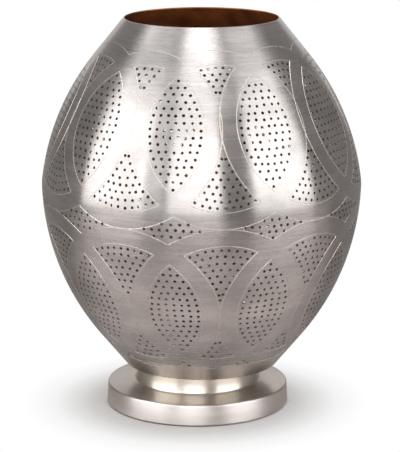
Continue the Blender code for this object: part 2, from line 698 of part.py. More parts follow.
wire("lower_lead", [(STEM_RADIUS + SEAT, 0.0, filament_low)] + ring_points(FILAMENT_RING, filament_low),
     LEAD_RADIUS, nickel)
upper_post = [(0.0, 0.0, stem_top + SEAT), (0.0, 0.0, filament_high)]
wire("upper_lead", upper_post + ring_points(upper_ring, filament_high), LEAD_RADIUS, nickel)
filament_ends = [
    (FILAMENT_RING, filament_low + LEAD_RADIUS + SEAT),
    (upper_ring, filament_high - LEAD_RADIUS - SEAT),
]
for number in range(FILAMENT_COUNT):
    angle = 2 * pi * (number + 0.5) / FILAMENT_COUNT
    points = [(r * cos(angle), r * sin(angle), z) for r, z in filament_ends]
    wire("filament_%d" % (number + 1), points, FILAMENT_RADIUS, phosphor)
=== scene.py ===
import json
import math
import random

import bmesh
import bpy
import numpy as np
from mathutils import Matrix, Vector

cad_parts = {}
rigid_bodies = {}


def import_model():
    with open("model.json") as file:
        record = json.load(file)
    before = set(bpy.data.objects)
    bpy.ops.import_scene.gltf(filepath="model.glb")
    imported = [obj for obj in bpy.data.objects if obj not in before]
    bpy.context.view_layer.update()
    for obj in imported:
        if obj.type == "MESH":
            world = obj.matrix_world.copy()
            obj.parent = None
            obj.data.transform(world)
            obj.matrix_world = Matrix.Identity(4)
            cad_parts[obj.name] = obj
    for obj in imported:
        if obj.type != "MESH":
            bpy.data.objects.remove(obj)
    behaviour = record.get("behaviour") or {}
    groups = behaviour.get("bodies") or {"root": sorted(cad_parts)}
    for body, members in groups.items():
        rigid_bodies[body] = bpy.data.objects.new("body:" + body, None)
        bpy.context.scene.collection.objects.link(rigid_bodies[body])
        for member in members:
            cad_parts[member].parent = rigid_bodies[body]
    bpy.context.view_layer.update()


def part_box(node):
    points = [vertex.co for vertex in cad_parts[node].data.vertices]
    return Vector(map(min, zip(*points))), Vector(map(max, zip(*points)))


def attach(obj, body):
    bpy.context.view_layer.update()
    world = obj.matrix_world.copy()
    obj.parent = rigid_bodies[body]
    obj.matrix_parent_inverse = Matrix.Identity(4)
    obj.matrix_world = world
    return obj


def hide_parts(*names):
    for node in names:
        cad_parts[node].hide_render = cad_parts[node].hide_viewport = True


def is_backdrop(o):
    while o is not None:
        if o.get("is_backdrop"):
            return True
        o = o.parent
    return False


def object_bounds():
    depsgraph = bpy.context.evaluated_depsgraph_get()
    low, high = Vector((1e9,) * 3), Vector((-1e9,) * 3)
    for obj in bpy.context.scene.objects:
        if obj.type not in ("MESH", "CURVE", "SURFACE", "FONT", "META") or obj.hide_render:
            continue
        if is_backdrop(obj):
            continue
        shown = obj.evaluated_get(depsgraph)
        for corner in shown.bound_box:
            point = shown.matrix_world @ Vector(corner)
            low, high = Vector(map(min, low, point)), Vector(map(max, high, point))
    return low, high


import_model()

mm = 0.001
fullTurn = 2 * math.pi
tubeHole = 5.3 * mm          # lets the M10 tube through
uvLength = 0.3               # the run along an outline that one unit of the UV map "round" covers


def middleX(node):
    low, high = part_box(node)
    return (low.x + high.x) / 2


def measured(node):
    # Bottom, top and radius of a round node
    low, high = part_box(node)
    return low.z, high.z, (high.x - low.x) / 2


def around(sides):
    return fullTurn * np.arange(sides) / sides


# The body's line, as it was spun: two halves, each of two arcs and a straight cone
body = {
    "radius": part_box("upper_shell")[1].x,
    "top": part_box("upper_shell")[1].z,
    "bottom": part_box("lower_shell")[0].z,
    "seam": 173.7 * mm,
    "wall": 0.9 * mm,
    # Radius and sweep of each arc
    "upperArcs": [(33.4 * mm, math.radians(7.3)), (186.8 * mm, math.radians(31.6))],
    "lowerArcs": [(45.0 * mm, math.radians(1.6)), (188.5 * mm, math.radians(37.6))],
    # Where the bright band over the foot starts, along the wall from the seam
    "brightBand": -140.0 * mm,
    "lineStep": 0.4 * mm,
    "rowStep": 3.2 * mm,
    "sides": 240,
    "floorHole": 9.0 * mm,
    # The inside starts over the floor, by this share of the wall
    "floorLift": 1.4,
}
footCentre = middleX("foot_shell")


def bodyLine(upwards, arcs, endHeight):
    # Radius, height and lean of the wall, walked from the seam to one end
    r, z, lean = body["radius"], body["seam"], 0.0
    line = [(r, z, lean)]
    for radius, sweep in arcs:
        centreR = r - radius * math.cos(lean)
        centreZ = z - upwards * radius * math.sin(lean)
        steps = max(int(radius * sweep / body["lineStep"]), 2)
        for k in range(1, steps + 1):
            a = lean + sweep * k / steps
            r, z = centreR + radius * math.cos(a), centreZ + upwards * radius * math.sin(a)
            line.append((r, z, upwards * a))
        lean += sweep
    run = abs(endHeight - z)
    steps = int(run / body["lineStep"])
    for k in range(1, steps + 1):
        line.append((r - run * k / steps * math.tan(lean), z + upwards * run * k / steps, upwards * lean))
    return np.array(line)


upperHalf = bodyLine(1, body["upperArcs"], body["top"])
lowerHalf = bodyLine(-1, body["lowerArcs"], body["bottom"])
wallLine = np.vstack([lowerHalf[:0:-1], upperHalf])
wallRun = np.concatenate([[0.0], np.cumsum(np.hypot(*np.diff(wallLine[:, :2], axis=0).T))])
wallRun -= wallRun[len(lowerHalf) - 1]           # 0 at the seam, and up is positive
reachDown, reachUp = wallRun[0], wallRun[-1]


def wallAt(distance):
    # Radius, height and lean at a distance along the wall, for one distance or an array
    return [np.interp(distance, wallRun, wallLine[:, k]) for k in range(3)]


def onWall(angle, distance, depth=0.0):
    # Points of the wall: angle 0 is the front, and depth goes into the wall
    r, z, lean = wallAt(distance)
    r = r - depth * np.cos(lean)
    z = z - depth * np.sin(lean)
    return np.stack([r * np.sin(angle), -r * np.cos(angle), z + 0 * angle], axis=-1)


def outwardAt(angle, lean):
    level = np.cos(lean)
    return np.stack([level * np.sin(angle), -level * np.cos(angle), np.sin(lean) + 0 * angle], axis=-1)


# Finishes

def linear(hexColour):
    channels = [int(hexColour[k:k + 2], 16) / 255 for k in (1, 3, 5)]
    return [c / 12.92 if c <= 0.04045 else ((c + 0.055) / 1.055) ** 2.4 for c in channels] + [1.0]


def setNode(tree, node, settings):
    # A key that is a socket's number or name gives that input its value, or a link where the value is
    # another node's output. Any other key is a setting of the node itself.
    for key, value in settings.items():
        if not isinstance(key, int) and key not in node.inputs:
            setattr(node, key, value)
        elif isinstance(value, bpy.types.NodeSocket):
            tree.links.new(value, node.inputs[key])
        else:
            node.inputs[key].default_value = value
    return node


def addNode(tree, kind, settings):
    return setNode(tree, tree.nodes.new(kind), settings)


def maths(tree, operation, *values):
    # One sum, of numbers or of other nodes' outputs
    return addNode(tree, "ShaderNodeMath", {"operation": operation, **dict(enumerate(values))}).outputs[0]


def mixed(tree, share, first, second):
    # From the first value to the second, by a share
    return addNode(tree, "ShaderNodeMix", {"data_type": "FLOAT", 0: share, 2: first, 3: second}).outputs[0]


def mapRange(tree, value, source, target=(0.0, 1.0)):
    # A value carried over from one range to another, and held at its ends
    return addNode(tree, "ShaderNodeMapRange", {
        "Value": value, "From Min": source[0], "From Max": source[1],
        "To Min": target[0], "To Max": target[1]}).outputs[0]


def objectPlace(tree):
    return addNode(tree, "ShaderNodeTexCoord", {}).outputs["Object"]


def newMaterial(name, settings):
    material = bpy.data.materials.new(name)
    material.use_nodes = True
    tree = material.node_tree
    return material, tree, setNode(tree, tree.nodes["Principled BSDF"], settings)


def colourRamp(tree, factor, stops):
    node = addNode(tree, "ShaderNodeValToRGB", {"Fac": factor})
    elements = node.color_ramp.elements
    while len(elements) < len(stops):
        elements.new(0.5)
    for element, (place, colour) in zip(elements, stops):
        element.position = place
        element.color = colour
    return node.outputs["Color"]


def greyRamp(tree, factor, stops):
    return colourRamp(tree, factor, [(place, (grey, grey, grey, 1)) for place, grey in stops])


def noiseAt(tree, coordinates, size, detail):
    # Noise whose lumps are this big, in metres, along each axis
    sized = addNode(tree, "ShaderNodeMapping", {"Scale": [1 / s for s in size], "Vector": coordinates})
    return addNode(tree, "ShaderNodeTexNoise", {
        "Scale": 1.0, "Detail": detail, "Roughness": 0.6, "Vector": sized.outputs[0]}).outputs["Fac"]


def turnedCoordinates(tree, centreX, spread):
    # Object coordinates with the distance from the axis taken off the height, so that lines which
    # follow the height also run round a flat or leaning face
    centred = addNode(tree, "ShaderNodeMapping", {"Location": (-centreX, 0, 0), "Vector": objectPlace(tree)})
    x, y, z = addNode(tree, "ShaderNodeSeparateXYZ", {0: centred.outputs[0]}).outputs
    flat = addNode(tree, "ShaderNodeCombineXYZ", {0: x, 1: y}).outputs[0]
    reach = addNode(tree, "ShaderNodeVectorMath", {"operation": "LENGTH", 0: flat}).outputs["Value"]
    drop = maths(tree, "MULTIPLY_ADD", reach, -spread, z)
    return addNode(tree, "ShaderNodeCombineXYZ", {0: x, 1: y, 2: drop}).outputs[0]


def brushedPlate(name, look):
    # Silver plate brushed round the axis. The lines are a tenth of a millimetre apart on the real
    # one, and are drawn coarser here so that they show, with scratches and uneven tarnish.
    material, tree, shader = newMaterial(name, {
        "Metallic": look["metallic"], "Anisotropic": look["anisotropic"],
        "Anisotropic Rotation": look["rotation"]})
    place = turnedCoordinates(tree, look["centreX"], look["spread"])
    noise = {}
    for layer in ("lines", "bands", "tarnish", "waves"):
        length, height, detail = look[layer]
        noise[layer] = noiseAt(tree, place, (length, length, height), detail)
    dents = addNode(tree, "ShaderNodeBump", {
        "Strength": look["dent"], "Distance": look["dentDepth"], "Height": noise["waves"]})
    height = addNode(tree, "ShaderNodeSeparateXYZ", {0: place}).outputs[2]
    wear = greyRamp(tree, maths(tree, "DIVIDE", height, body["top"]), look["wear"])
    bump = addNode(tree, "ShaderNodeBump", {
        "Strength": maths(tree, "MULTIPLY", wear, look["bump"]),
        "Distance": look["depth"],
        "Height": mixed(tree, look["grainMix"], noise["lines"], noise["bands"]),
        "Normal": dents.outputs[0],
    })
    tone = mixed(tree, look["toneMix"], noise["tarnish"], noise["bands"])
    tangent = addNode(tree, "ShaderNodeTangent", {"direction_type": "UV_MAP", "uv_map": "round"})
    setNode(tree, shader, {
        "Base Color": colourRamp(tree, tone, list(zip(look["toneStops"], map(linear, look["tones"])))),
        "Roughness": mapRange(tree, noise["bands"], look["roughStops"], look["rough"]),
        "Normal": bump.outputs[0],
        "Tangent": tangent.outputs[0],
    })
    return material


bodyLook = {
    "centreX": 0.0,
    "spread": 0.0,
    # Length round the lamp, height and detail of each kind of unevenness
    "lines": (14 * mm, 0.35 * mm, 2.0),
    "bands": (45 * mm, 1.6 * mm, 3.0),
    "tarnish": (45 * mm, 22.5 * mm, 3.0),
    "waves": (11 * mm, 6.6 * mm, 1.0),
    "grainMix": 0.5,
    "dent": 0.22,
    "dentDepth": 0.12 * mm,
    "bump": 1.0,
    # The brushing is coarsest round the seam and under the mouth, at these shares of the height
    "wear": ((0.44, 0.08), (0.50, 0.4), (0.54, 1.2), (0.60, 1.0), (0.63, 0.15), (0.84, 0.15), (0.92, 0.7)),
    "depth": 0.05 * mm,
    "tones": ("#8b8886", "#a6a1a0"),
    "toneMix": 0.2,
    "toneStops": (0.35, 0.65),
    "rough": (0.235, 0.30),
    "roughStops": (0.3, 0.7),
    "anisotropic": 0.96,
    "rotation": 0.25,
    # The film that tarnish leaves scatters a part of the light
    "metallic": 0.85,
}
evenWear = ((0.0, 1.0), (1.0, 1.0))
footLook = dict(bodyLook, centreX=footCentre, spread=1.0, tones=("#bfb8af", "#d2cbc3"), rough=(0.28, 0.36),
                anisotropic=0.75, bump=0.15, wear=evenWear, dent=0.1, metallic=1.0)
hemLook = dict(footLook, rough=(0.38, 0.46), tones=("#beb8b6", "#d0cac8"), bump=0.4)
bandLook = dict(bodyLook, rough=(0.17, 0.25), tones=("#aaa39e", "#bcb6b1"), bump=0.2, dent=0.15,
                wear=evenWear, metallic=1.0)
bandSilver = brushedPlate("turnedSilverBand", bandLook)
brushedSilver = brushedPlate("brushedSilverPlate", bodyLook)
satinSilver = brushedPlate("satinSilverPlate", hemLook)


def mottled(name, settings, patch, stops, bump=0.0):
    # A plain finish with the slight unevenness of a real surface, in patches of this size
    material, tree, shader = newMaterial(name, settings)
    patches = noiseAt(tree, objectPlace(tree), (patch, patch, patch), 3.0)
    colour = colourRamp(tree, patches, [(place, linear(tone)) for place, tone in stops])
    setNode(tree, shader, {"Base Color": colour})
    if bump:
        dents = addNode(tree, "ShaderNodeBump", {"Strength": bump, "Distance": 0.1 * mm, "Height": patches})
        setNode(tree, shader, {"Normal": dents.outputs[0]})
    return material


# Brass that was never plated inside: dark brown, with a redder bloom in patches, kept darker than the lower
# half's inside as painted shade
insideBrownPaintedShade = mottled("oxidisedBrass", {"Metallic": 0.6, "Roughness": 0.5}, 22 * mm,
                      [(0.35, "#5c3016"), (0.7, "#8a5028")], 0.2)
# The lower half's inside: a lighter copper red, the lightness being painted light, which gives the holes
# their warm ground
insideCopperPaintedLight = mottled("copperyBrass", {"Metallic": 0.3, "Roughness": 0.5}, 22 * mm,
                       [(0.35, "#9c6a4e"), (0.7, "#c6997e")], 0.2)
# Bare metal where a tool cut through the plate: cleaner and brighter than the brushed wall
cutEdge = mottled("cutMetalEdge", {"Metallic": 1.0, "Roughness": 0.45}, 1.6 * mm,
                  [(0.3, "#9d958e"), (0.7, "#c2bab2")])
# The plate's brass core, where the holes were punched: brown, and the warmest thing to be seen
punchedBrass = mottled("punchedBrass", {"Metallic": 1.0, "Roughness": 0.42}, 2.2 * mm,
                       [(0.3, "#5c3a26"), (0.7, "#8c6040")])

# The finish of each slot that a turned piece can have
finishes = {
    "polished_plate": brushedPlate("polishedSilverPlate", footLook),
    # Zinc plate: cool grey, slightly cloudy
    "zinc_steel": mottled("zincPlatedSteel", {"Metallic": 1.0, "Roughness": 0.38}, 3 * mm,
                          [(0.35, "#8f9296"), (0.65, "#a9acb0")], 0.1),
    # Wool felt: matt, with fibres that catch light at a low angle
    "felt": mottled("pressedFelt", {"Roughness": 0.95, "Sheen Weight": 0.4}, 0.6 * mm,
                    [(0.35, "#1d2420"), (0.65, "#2e3832")], 0.6),
    # Moulded rubber: black and dull
    "grommet_rubber": mottled("softRubber", {"Roughness": 0.6}, 1.0 * mm,
                              [(0.4, "#161616"), (0.7, "#222222")], 0.1),
    # Compression-moulded phenolic: a deep, slightly wavy brown-black gloss
    "black_phenolic": mottled("mouldedPhenolic", {"Roughness": 0.28}, 6 * mm,
                              [(0.35, "#141313"), (0.7, "#1f1d1c")], 0.05),
    # Glazed porcelain: warm white under a clear coat
    "porcelain": mottled("glazedPorcelain", {"Roughness": 0.12, "Coat Weight": 0.5, "Coat Roughness": 0.05},
                         5 * mm, [(0.3, "#e4e0d6"), (0.7, "#efece4")], 0.05),
    # Pressed brass, a little dulled
    "contact_brass": mottled("pressedBrass", {"Metallic": 1.0, "Roughness": 0.3}, 3 * mm,
                             [(0.3, "#b9924f"), (0.7, "#d4b06a")], 0.1),
    # Bright nickel over brass sheet
    "nickel": mottled("nickelPlate", {"Metallic": 1.0, "Roughness": 0.22}, 3 * mm,
                      [(0.3, "#b3b0a8"), (0.7, "#c9c6be")], 0.05),
    # Blown soda-lime glass: clear and smooth
    "bulb_glass": mottled("blownGlass", {"Transmission Weight": 1.0, "Roughness": 0.02, "IOR": 1.5}, 20 * mm,
                          [(0.3, "#fbfdfc"), (0.7, "#ffffff")]),
    # Phosphor in silicone over the light strips: matt egg yellow
    "phosphor": mottled("phosphorCoat", {"Roughness": 0.6}, 0.8 * mm,
                        [(0.3, "#c99a2e"), (0.7, "#e2b84a")], 0.2),
}
print("finishes made")


# Struck circles, with the sizes that a pair of dividers was set to
pattern = {
    "count": 10,
    "turn": math.radians(7.8),
    # Distances along the wall: the circles' centres and radii, and how far their fields may go
    "upper": {"centre": 57.7 * mm, "outer": 66.8 * mm, "inner": 55.0 * mm,
              "fields": (4 * mm, reachUp - 4 * mm)},
    "lower": {"centre": -74.8 * mm, "outer": 65.8 * mm, "inner": 53.5 * mm,
              "fields": (-139.5 * mm, -4 * mm)},
    "gapFields": (-30 * mm, 10 * mm),
    "holePitch": 5.6 * mm,
    "rowPitch": 5.2 * mm,
    "edge": 3.0 * mm,
    "hornEdge": 1.8 * mm,
    "gapEdge": 1.0 * mm,
    "gapPitch": 4.4 * mm,
    "jitter": 0.4 * mm,
    "seed": 11,
    "linePointStep": 2.2 * mm,
    # How many samples find an arc, a field's width and height, a whole circle and a line
    "samples": {"arc": 4000, "across": 500, "up": 1500, "circle": 6000, "line": 900},
    # The hand that struck them was off by this much: a turn in degrees and a shift along the wall
    "slips": {("lower", 8): (-2.0, -1.0 * mm), ("lower", 9): (-1.1, -3.0 * mm),
              ("lower", 0): (-0.3, -1.2 * mm), ("upper", 9): (0.0, -2.0 * mm)},
    "slipTurn": 0.4,
    "slipShift": 0.8 * mm,
    "backCircles": (3, 4, 5, 6, 7),
    # Three holes fill each small gap that the lower circles leave above the bottom line
    "bottomHoles": ((-3.4, -138.6 * mm), (0.0, -135.2 * mm), (3.4, -138.6 * mm)),
}
rowNames = ("upper", "lower")
circleStep = fullTurn / pattern["count"]
samples = pattern["samples"]
hair = 1e-6          # what counts as nothing, in metres or radians
dice = random.Random(pattern["seed"])


def shake(amount):
    return dice.uniform(-1, 1) * amount


slips = dict(pattern["slips"])
for rowName in rowNames:
    for number in pattern["backCircles"]:
        slips[rowName, number] = (shake(pattern["slipTurn"]), shake(pattern["slipShift"]))


def slipOf(rowName, number):
    return slips.get((rowName, number % pattern["count"]), (0.0, 0.0))


def circleAngle(rowName, number):
    return pattern["turn"] + circleStep * number + math.radians(slipOf(rowName, number)[0])


def circleCentre(rowName, number):
    return pattern[rowName]["centre"] + slipOf(rowName, number)[1]


def midway(rowName, number):
    # The angle midway between a circle and the next one
    return (circleAngle(rowName, number) + circleAngle(rowName, number + 1)) / 2


def span(rowName, number, radius, s):
    # Half the angle that a struck circle spans at a distance along the wall
    r, z, _ = wallAt(s)
    cr, cz, _ = wallAt(circleCentre(rowName, number))
    cosine = (r * r + cr * cr + (z - cz) ** 2 - radius ** 2) / (2 * r * cr)
    return np.arccos(np.clip(cosine, -1.0, 1.0))


def sideOf(rowName, number, side, radius, s):
    # The angle of a circle's left (-1) or right (1) side
    return circleAngle(rowName, number) + side * span(rowName, number, radius, s)


# The holes keep their distance from the lines, so they fill smaller circles and skirt larger ones.
def insideRadius(rowName):
    return pattern[rowName]["inner"] - pattern["edge"]


def lensEdges(rowName, number, s):
    radius = insideRadius(rowName)
    return sideOf(rowName, number + 1, -1, radius, s), sideOf(rowName, number, 1, radius, s)


def hornEdges(rowName, number, s):
    inside = insideRadius(rowName)
    outside = pattern[rowName]["outer"] + pattern["hornEdge"]
    left = np.maximum(sideOf(rowName, number, -1, inside, s), sideOf(rowName, number - 1, 1, outside, s))
    right = np.minimum(sideOf(rowName, number, 1, inside, s), sideOf(rowName, number + 1, -1, outside, s))
    return left, right


def gapEdges(number, s):
    radii = {name: pattern[name]["outer"] + pattern["gapEdge"] for name in rowNames}
    left = np.maximum(*[sideOf(name, number, 1, radii[name], s) for name in radii])
    right = np.minimum(*[sideOf(name, number + 1, -1, radii[name], s) for name in radii])
    return left, right


def arcOf(rowName, number, top):
    # A circle's top or bottom arc, as a function that gives the distance at an angle
    ends = sorted((circleCentre(rowName, number), reachUp if top else reachDown))
    s = np.linspace(*ends, samples["arc"])
    reach = span(rowName, number, insideRadius(rowName), s)
    if top:
        s, reach = s[::-1], reach[::-1]
    first = np.flatnonzero(reach > 0)[0]
    s, reach = s[first:], reach[first:]
    widest = int(reach.argmax()) + 1
    middle = circleAngle(rowName, number)
    return lambda angle: np.interp(np.abs(angle - middle), reach[:widest], s[:widest])


def runAlong(angles, distances):
    # The length of a line on the wall up to each of its points
    steps = np.linalg.norm(np.diff(onWall(angles, distances), axis=0), axis=1)
    return np.concatenate([[0.0], np.cumsum(steps)])


def holeRow(angles, distances):
    # Holes at an even pitch along one row
    run = runAlong(angles, distances)
    gaps = round(run[-1] / pattern["holePitch"])
    places = np.linspace(0.0, run[-1], gaps + 1) if gaps else [run[-1] / 2]
    holes = []
    for place in places:
        angle, distance = np.interp(place, run, angles), np.interp(place, run, distances)
        turn = shake(pattern["jitter"]) / wallAt(distance)[0]
        holes.append((angle + turn, distance + shake(pattern["jitter"])))
    return holes


def fieldHoles(edges, middle, search, base=None, rowPitch=pattern["rowPitch"]):
    # Rows up the field: level ones, or ones that follow an arc when there is a base arc
    angles = middle + np.linspace(-circleStep / 2, circleStep / 2, samples["across"])
    s = np.linspace(*search, samples["up"])
    left, right = edges(s)
    wide = s[right > left + hair]
    if not len(wide):
        return []
    start, stop = wide[0], wide[-1]
    if base:
        start = base(middle)
        stop = max(wide[0], wide[-1], key=lambda end: abs(start - end))
    rows = max(round(abs(stop - start) / rowPitch), 1)
    holes = []
    for k in range(rows + 1):
        level = start + (stop - start) * k / rows
        distances = base(angles) + (level - start) if base else np.full(len(angles), level)
        left, right = edges(distances)
        held = (angles >= left - hair) & (angles <= right + hair)
        if held.any():
            holes += holeRow(angles[held], distances[held])
    return holes


wallHoles = []
for number in range(pattern["count"]):
    for rowName in rowNames:
        low, high = pattern[rowName]["fields"]
        centre = circleCentre(rowName, number)
        wallHoles += fieldHoles(lambda s: lensEdges(rowName, number, s), midway(rowName, number), (low, high))
        for top, search in ((True, (centre, high)), (False, (low, centre))):
            wallHoles += fieldHoles(lambda s: hornEdges(rowName, number, s), circleAngle(rowName, number),
                                    search, arcOf(rowName, number, top))
    between = circleAngle("upper", number) + circleStep / 2
    wallHoles += fieldHoles(lambda s: gapEdges(number, s), between, pattern["gapFields"],
                            rowPitch=pattern["gapPitch"])
    for turn, distance in pattern["bottomHoles"]:
        wallHoles.append((midway("lower", number) + math.radians(turn), distance + shake(pattern["jitter"])))
wallHoles = np.array(wallHoles)
print("holes", len(wallHoles))


# Engraved lines: the stretches of the struck circles that edge the fields, in sets that keep apart

def depthInNext(rowName, number, side, opening, angle, s):
    # How deep in the next circle on one side a point is, as an angle: negative outside that circle
    reach = span(rowName, number + side, pattern[rowName][opening], s)
    return reach - side * (circleAngle(rowName, number + side) - angle)


def arcRuns(rowName, number, opening, side, keep):
    # The stretches of one side of a circle where keep(angle, distance) holds
    radius = pattern[rowName][opening]
    centre = circleCentre(rowName, number)
    s = np.linspace(centre - 1.2 * radius, centre + 1.2 * radius, samples["circle"])
    there = s[span(rowName, number, radius, s) > 0]
    middle, half = (there[0] + there[-1]) / 2, (there[-1] - there[0]) / 2
    along = middle + half * np.sin(np.linspace(-math.pi / 2, math.pi / 2, samples["line"]))
    angle = sideOf(rowName, number, side, radius, along)
    held = keep(angle, along)
    edges = np.flatnonzero(np.diff(np.concatenate([[0], held.astype(int), [0]])))
    return [(angle[first:last], along[first:last]) for first, last in zip(edges[::2], edges[1::2])
            if last - first > 3]


def evenly(angle, along, lift):
    # Even steps along the line, a little above the wall
    run = runAlong(angle, along)
    count = max(int(run[-1] / pattern["linePointStep"]), 2)
    even = np.linspace(0.0, run[-1], count + 1)
    return onWall(np.interp(even, run, angle), np.interp(even, run, along), -lift)


engraving = {
    "radius": 0.42 * mm,
    "lift": 0.22 * mm,
    # Two lines turned near the bottom, the lower one where the bright band over the foot starts
    "turnedLines": ((body["brightBand"], 0.30 * mm), (-136.2 * mm, 0.37 * mm)),
    "turnedEnds": math.radians(179.9),
}
# Right sides, left sides, two sets of ends that would touch each other, and the turned lines
lineSets = [[], [], [], [], []]
for rowIndex, rowName in enumerate(rowNames):
    for number in range(pattern["count"]):
        for opening in ("inner", "outer"):
            for side in (1, -1):
                runs = arcRuns(rowName, number, opening, side, lambda angle, s: (
                    depthInNext(rowName, number, side, "inner", angle, s) > 0))
                lineSets[(1 - side) // 2] += [evenly(*run, engraving["lift"]) for run in runs]
            for top in (True, False):
                halves = []
                for side in (-1, 1):
                    halves += arcRuns(rowName, number, opening, side, lambda angle, s: (
                        ((s > circleCentre(rowName, number)) == top)
                        & (depthInNext(rowName, number, side, "outer", angle, s) < 0)))[:1]
                if len(halves) == 2:
                    order = 1 if top else -1
                    run = [np.concatenate([a[::order], b[::-order]]) for a, b in zip(*halves)]
                    which = 2 + (number + rowIndex) % 2 if opening == "outer" else 2
                    lineSets[which].append(evenly(*run, engraving["lift"]))
allRound = np.linspace(-engraving["turnedEnds"], engraving["turnedEnds"], samples["line"])
for distance, lift in engraving["turnedLines"]:
    lineSets[4].append(evenly(allRound, np.full_like(allRound, distance), lift))
print("lines", [len(lines) for lines in lineSets])


def linkedObject(name, data):
    made = bpy.data.objects.new(name, data)
    bpy.context.scene.collection.objects.link(made)
    return made


def pointCloud(name, holes):
    # One vertex for each hole, with the way that its pin points
    mesh = bpy.data.meshes.new(name)
    mesh.from_pydata(onWall(holes[:, 0], holes[:, 1]).tolist(), [], [])
    aim = mesh.attributes.new("aim", "FLOAT_VECTOR", "POINT")
    aim.data.foreach_set("vector", outwardAt(holes[:, 0], wallAt(holes[:, 1])[2]).ravel())
    return linkedObject(name, mesh)


def lineMesh(name, lines):
    points, edges = [], []
    for line in lines:
        first = len(points)
        points += line.tolist()
        edges += [(first + k, first + k + 1) for k in range(len(line) - 1)]
    mesh = bpy.data.meshes.new(name)
    mesh.from_pydata(points, edges, [])
    return linkedObject(name, mesh)


def piercingTree(lineCount):
    # Pins on the points, and round rods along the lines, are cut out of the wall
    tree = bpy.data.node_groups.new("pierceAndEngrave", "GeometryNodeTree")
    inputs = {
        "Wall": "Geometry", "Holes": "Object", "Hole Diameter": "Float", "Smallest": "Float",
        "Largest": "Float", "Hole Sides": "Int", "Pin Length": "Float", "Line Radius": "Float",
        "Line Sides": "Int", "Hole Finish": "Material", "Cut Finish": "Material", "Inside Finish": "Material",
        **{f"Lines {k + 1}": "Object" for k in range(lineCount)},
    }
    for name, kind in inputs.items():
        tree.interface.new_socket(name, in_out="INPUT", socket_type="NodeSocket" + kind)
    tree.interface.new_socket("Wall", in_out="OUTPUT", socket_type="NodeSocketGeometry")
    given = addNode(tree, "NodeGroupInput", {}).outputs

    def add(kind, settings, output=0):
        return addNode(tree, kind, settings).outputs[output]

    def cutFrom(wall, cutter, finish):
        # The cut faces keep the cutter's finish
        dressed = add("GeometryNodeSetMaterial", {"Geometry": cutter, "Material": given[finish]})
        return add("GeometryNodeMeshBoolean", {"operation": "DIFFERENCE", "solver": "MANIFOLD",
                                               "Mesh 1": wall, "Mesh 2": dressed})

    pin = add("GeometryNodeMeshCylinder", {
        "Vertices": given["Hole Sides"],
        "Radius": maths(tree, "MULTIPLY", given["Hole Diameter"], 0.5),
        "Depth": given["Pin Length"],
    })
    aim = add("GeometryNodeInputNamedAttribute", {"data_type": "FLOAT_VECTOR", "Name": "aim"}, "Attribute")
    pins = add("GeometryNodeInstanceOnPoints", {
        "Points": add("GeometryNodeObjectInfo", {"Object": given["Holes"]}, "Geometry"),
        "Instance": pin,
        "Rotation": add("FunctionNodeAlignRotationToVector", {"axis": "Z", "Vector": aim}),
        "Scale": add("FunctionNodeRandomValue", {
            "data_type": "FLOAT", 2: given["Smallest"], 3: given["Largest"], "Seed": 5}, 1),
    })
    wall = cutFrom(given["Wall"], add("GeometryNodeRealizeInstances", {0: pins}), "Hole Finish")
    ring = add("GeometryNodeCurvePrimitiveCircle", {"Resolution": given["Line Sides"],
                                                    "Radius": given["Line Radius"]})
    for k in range(lineCount):
        path = add("GeometryNodeObjectInfo", {"Object": given[f"Lines {k + 1}"]}, "Geometry")
        curve = add("GeometryNodeMeshToCurve", {"Mesh": path})
        rod = add("GeometryNodeCurveToMesh", {"Curve": curve, "Profile Curve": ring, "Fill Caps": True})
        wall = cutFrom(wall, rod, "Cut Finish")
    inside = add("GeometryNodeInputNamedAttribute", {"data_type": "BOOLEAN", "Name": "inside"}, "Attribute")
    whole = add("GeometryNodeRealizeInstances", {0: wall})
    lined = add("GeometryNodeSetMaterial", {"Geometry": whole, "Selection": inside,
                                            "Material": given["Inside Finish"]})
    addNode(tree, "NodeGroupOutput", {0: lined})
    return tree


def keepResult(piece, modifier):
    # What the modifier makes of the piece becomes its plain mesh
    bpy.context.view_layer.update()
    mesh = bpy.data.meshes.new_from_object(piece.evaluated_get(bpy.context.evaluated_depsgraph_get()))
    piece.modifiers.remove(modifier)
    old = piece.data
    piece.data = mesh
    bpy.data.meshes.remove(old)
    mesh.name = piece.name


def applyTree(piece, tree, values):
    modifier = piece.modifiers.new(tree.name, "NODES")
    modifier.node_group = tree
    for socket in tree.interface.items_tree:
        if socket.name in values and socket.in_out == "INPUT":
            modifier[socket.identifier] = values[socket.name]
    keepResult(piece, modifier)


def turnedMesh(name, outline, sides, centreX=0.0):
    # A turned solid. The outline is (radius, height) points, where a radius may also be an array
    # that gives it side by side, and the UV map "round" goes round it and along the outline.
    bm = bmesh.new()
    uv = bm.loops.layers.uv.new("round")
    line = [(float(np.max(r)), z) for r, z in outline]
    rings, runs = [], [0.0]
    for k, (r, z) in enumerate(outline):
        if line[k][0] < hair:
            rings.append([bm.verts.new((centreX, 0.0, z))] * sides)
        else:
            rings.append([bm.verts.new((centreX + reach * math.sin(turn), -reach * math.cos(turn), z))
                          for reach, turn in zip(np.broadcast_to(r, sides), around(sides))])
        runs.append(runs[-1] + math.dist(line[k], line[(k + 1) % len(line)]))
    for k, low in enumerate(rings):
        high = rings[(k + 1) % len(rings)]
        for j in range(sides):
            n = (j + 1) % sides
            # On the axis the two corners of a face are one
            corners = {}
            for vertex, turn, run in ((low[j], j, runs[k]), (low[n], j + 1, runs[k]),
                                      (high[n], j + 1, runs[k + 1]), (high[j], j, runs[k + 1])):
                corners.setdefault(vertex, (turn / sides, run / uvLength))
            if len(corners) > 2:
                face = bm.faces.new(list(corners))
                face.smooth = True
                for loop, place in zip(face.loops, corners.values()):
                    loop[uv].uv = place
    bmesh.ops.recalc_face_normals(bm, faces=bm.faces)
    mesh = bpy.data.meshes.new(name)
    bm.to_mesh(mesh)
    bm.free()
    return mesh


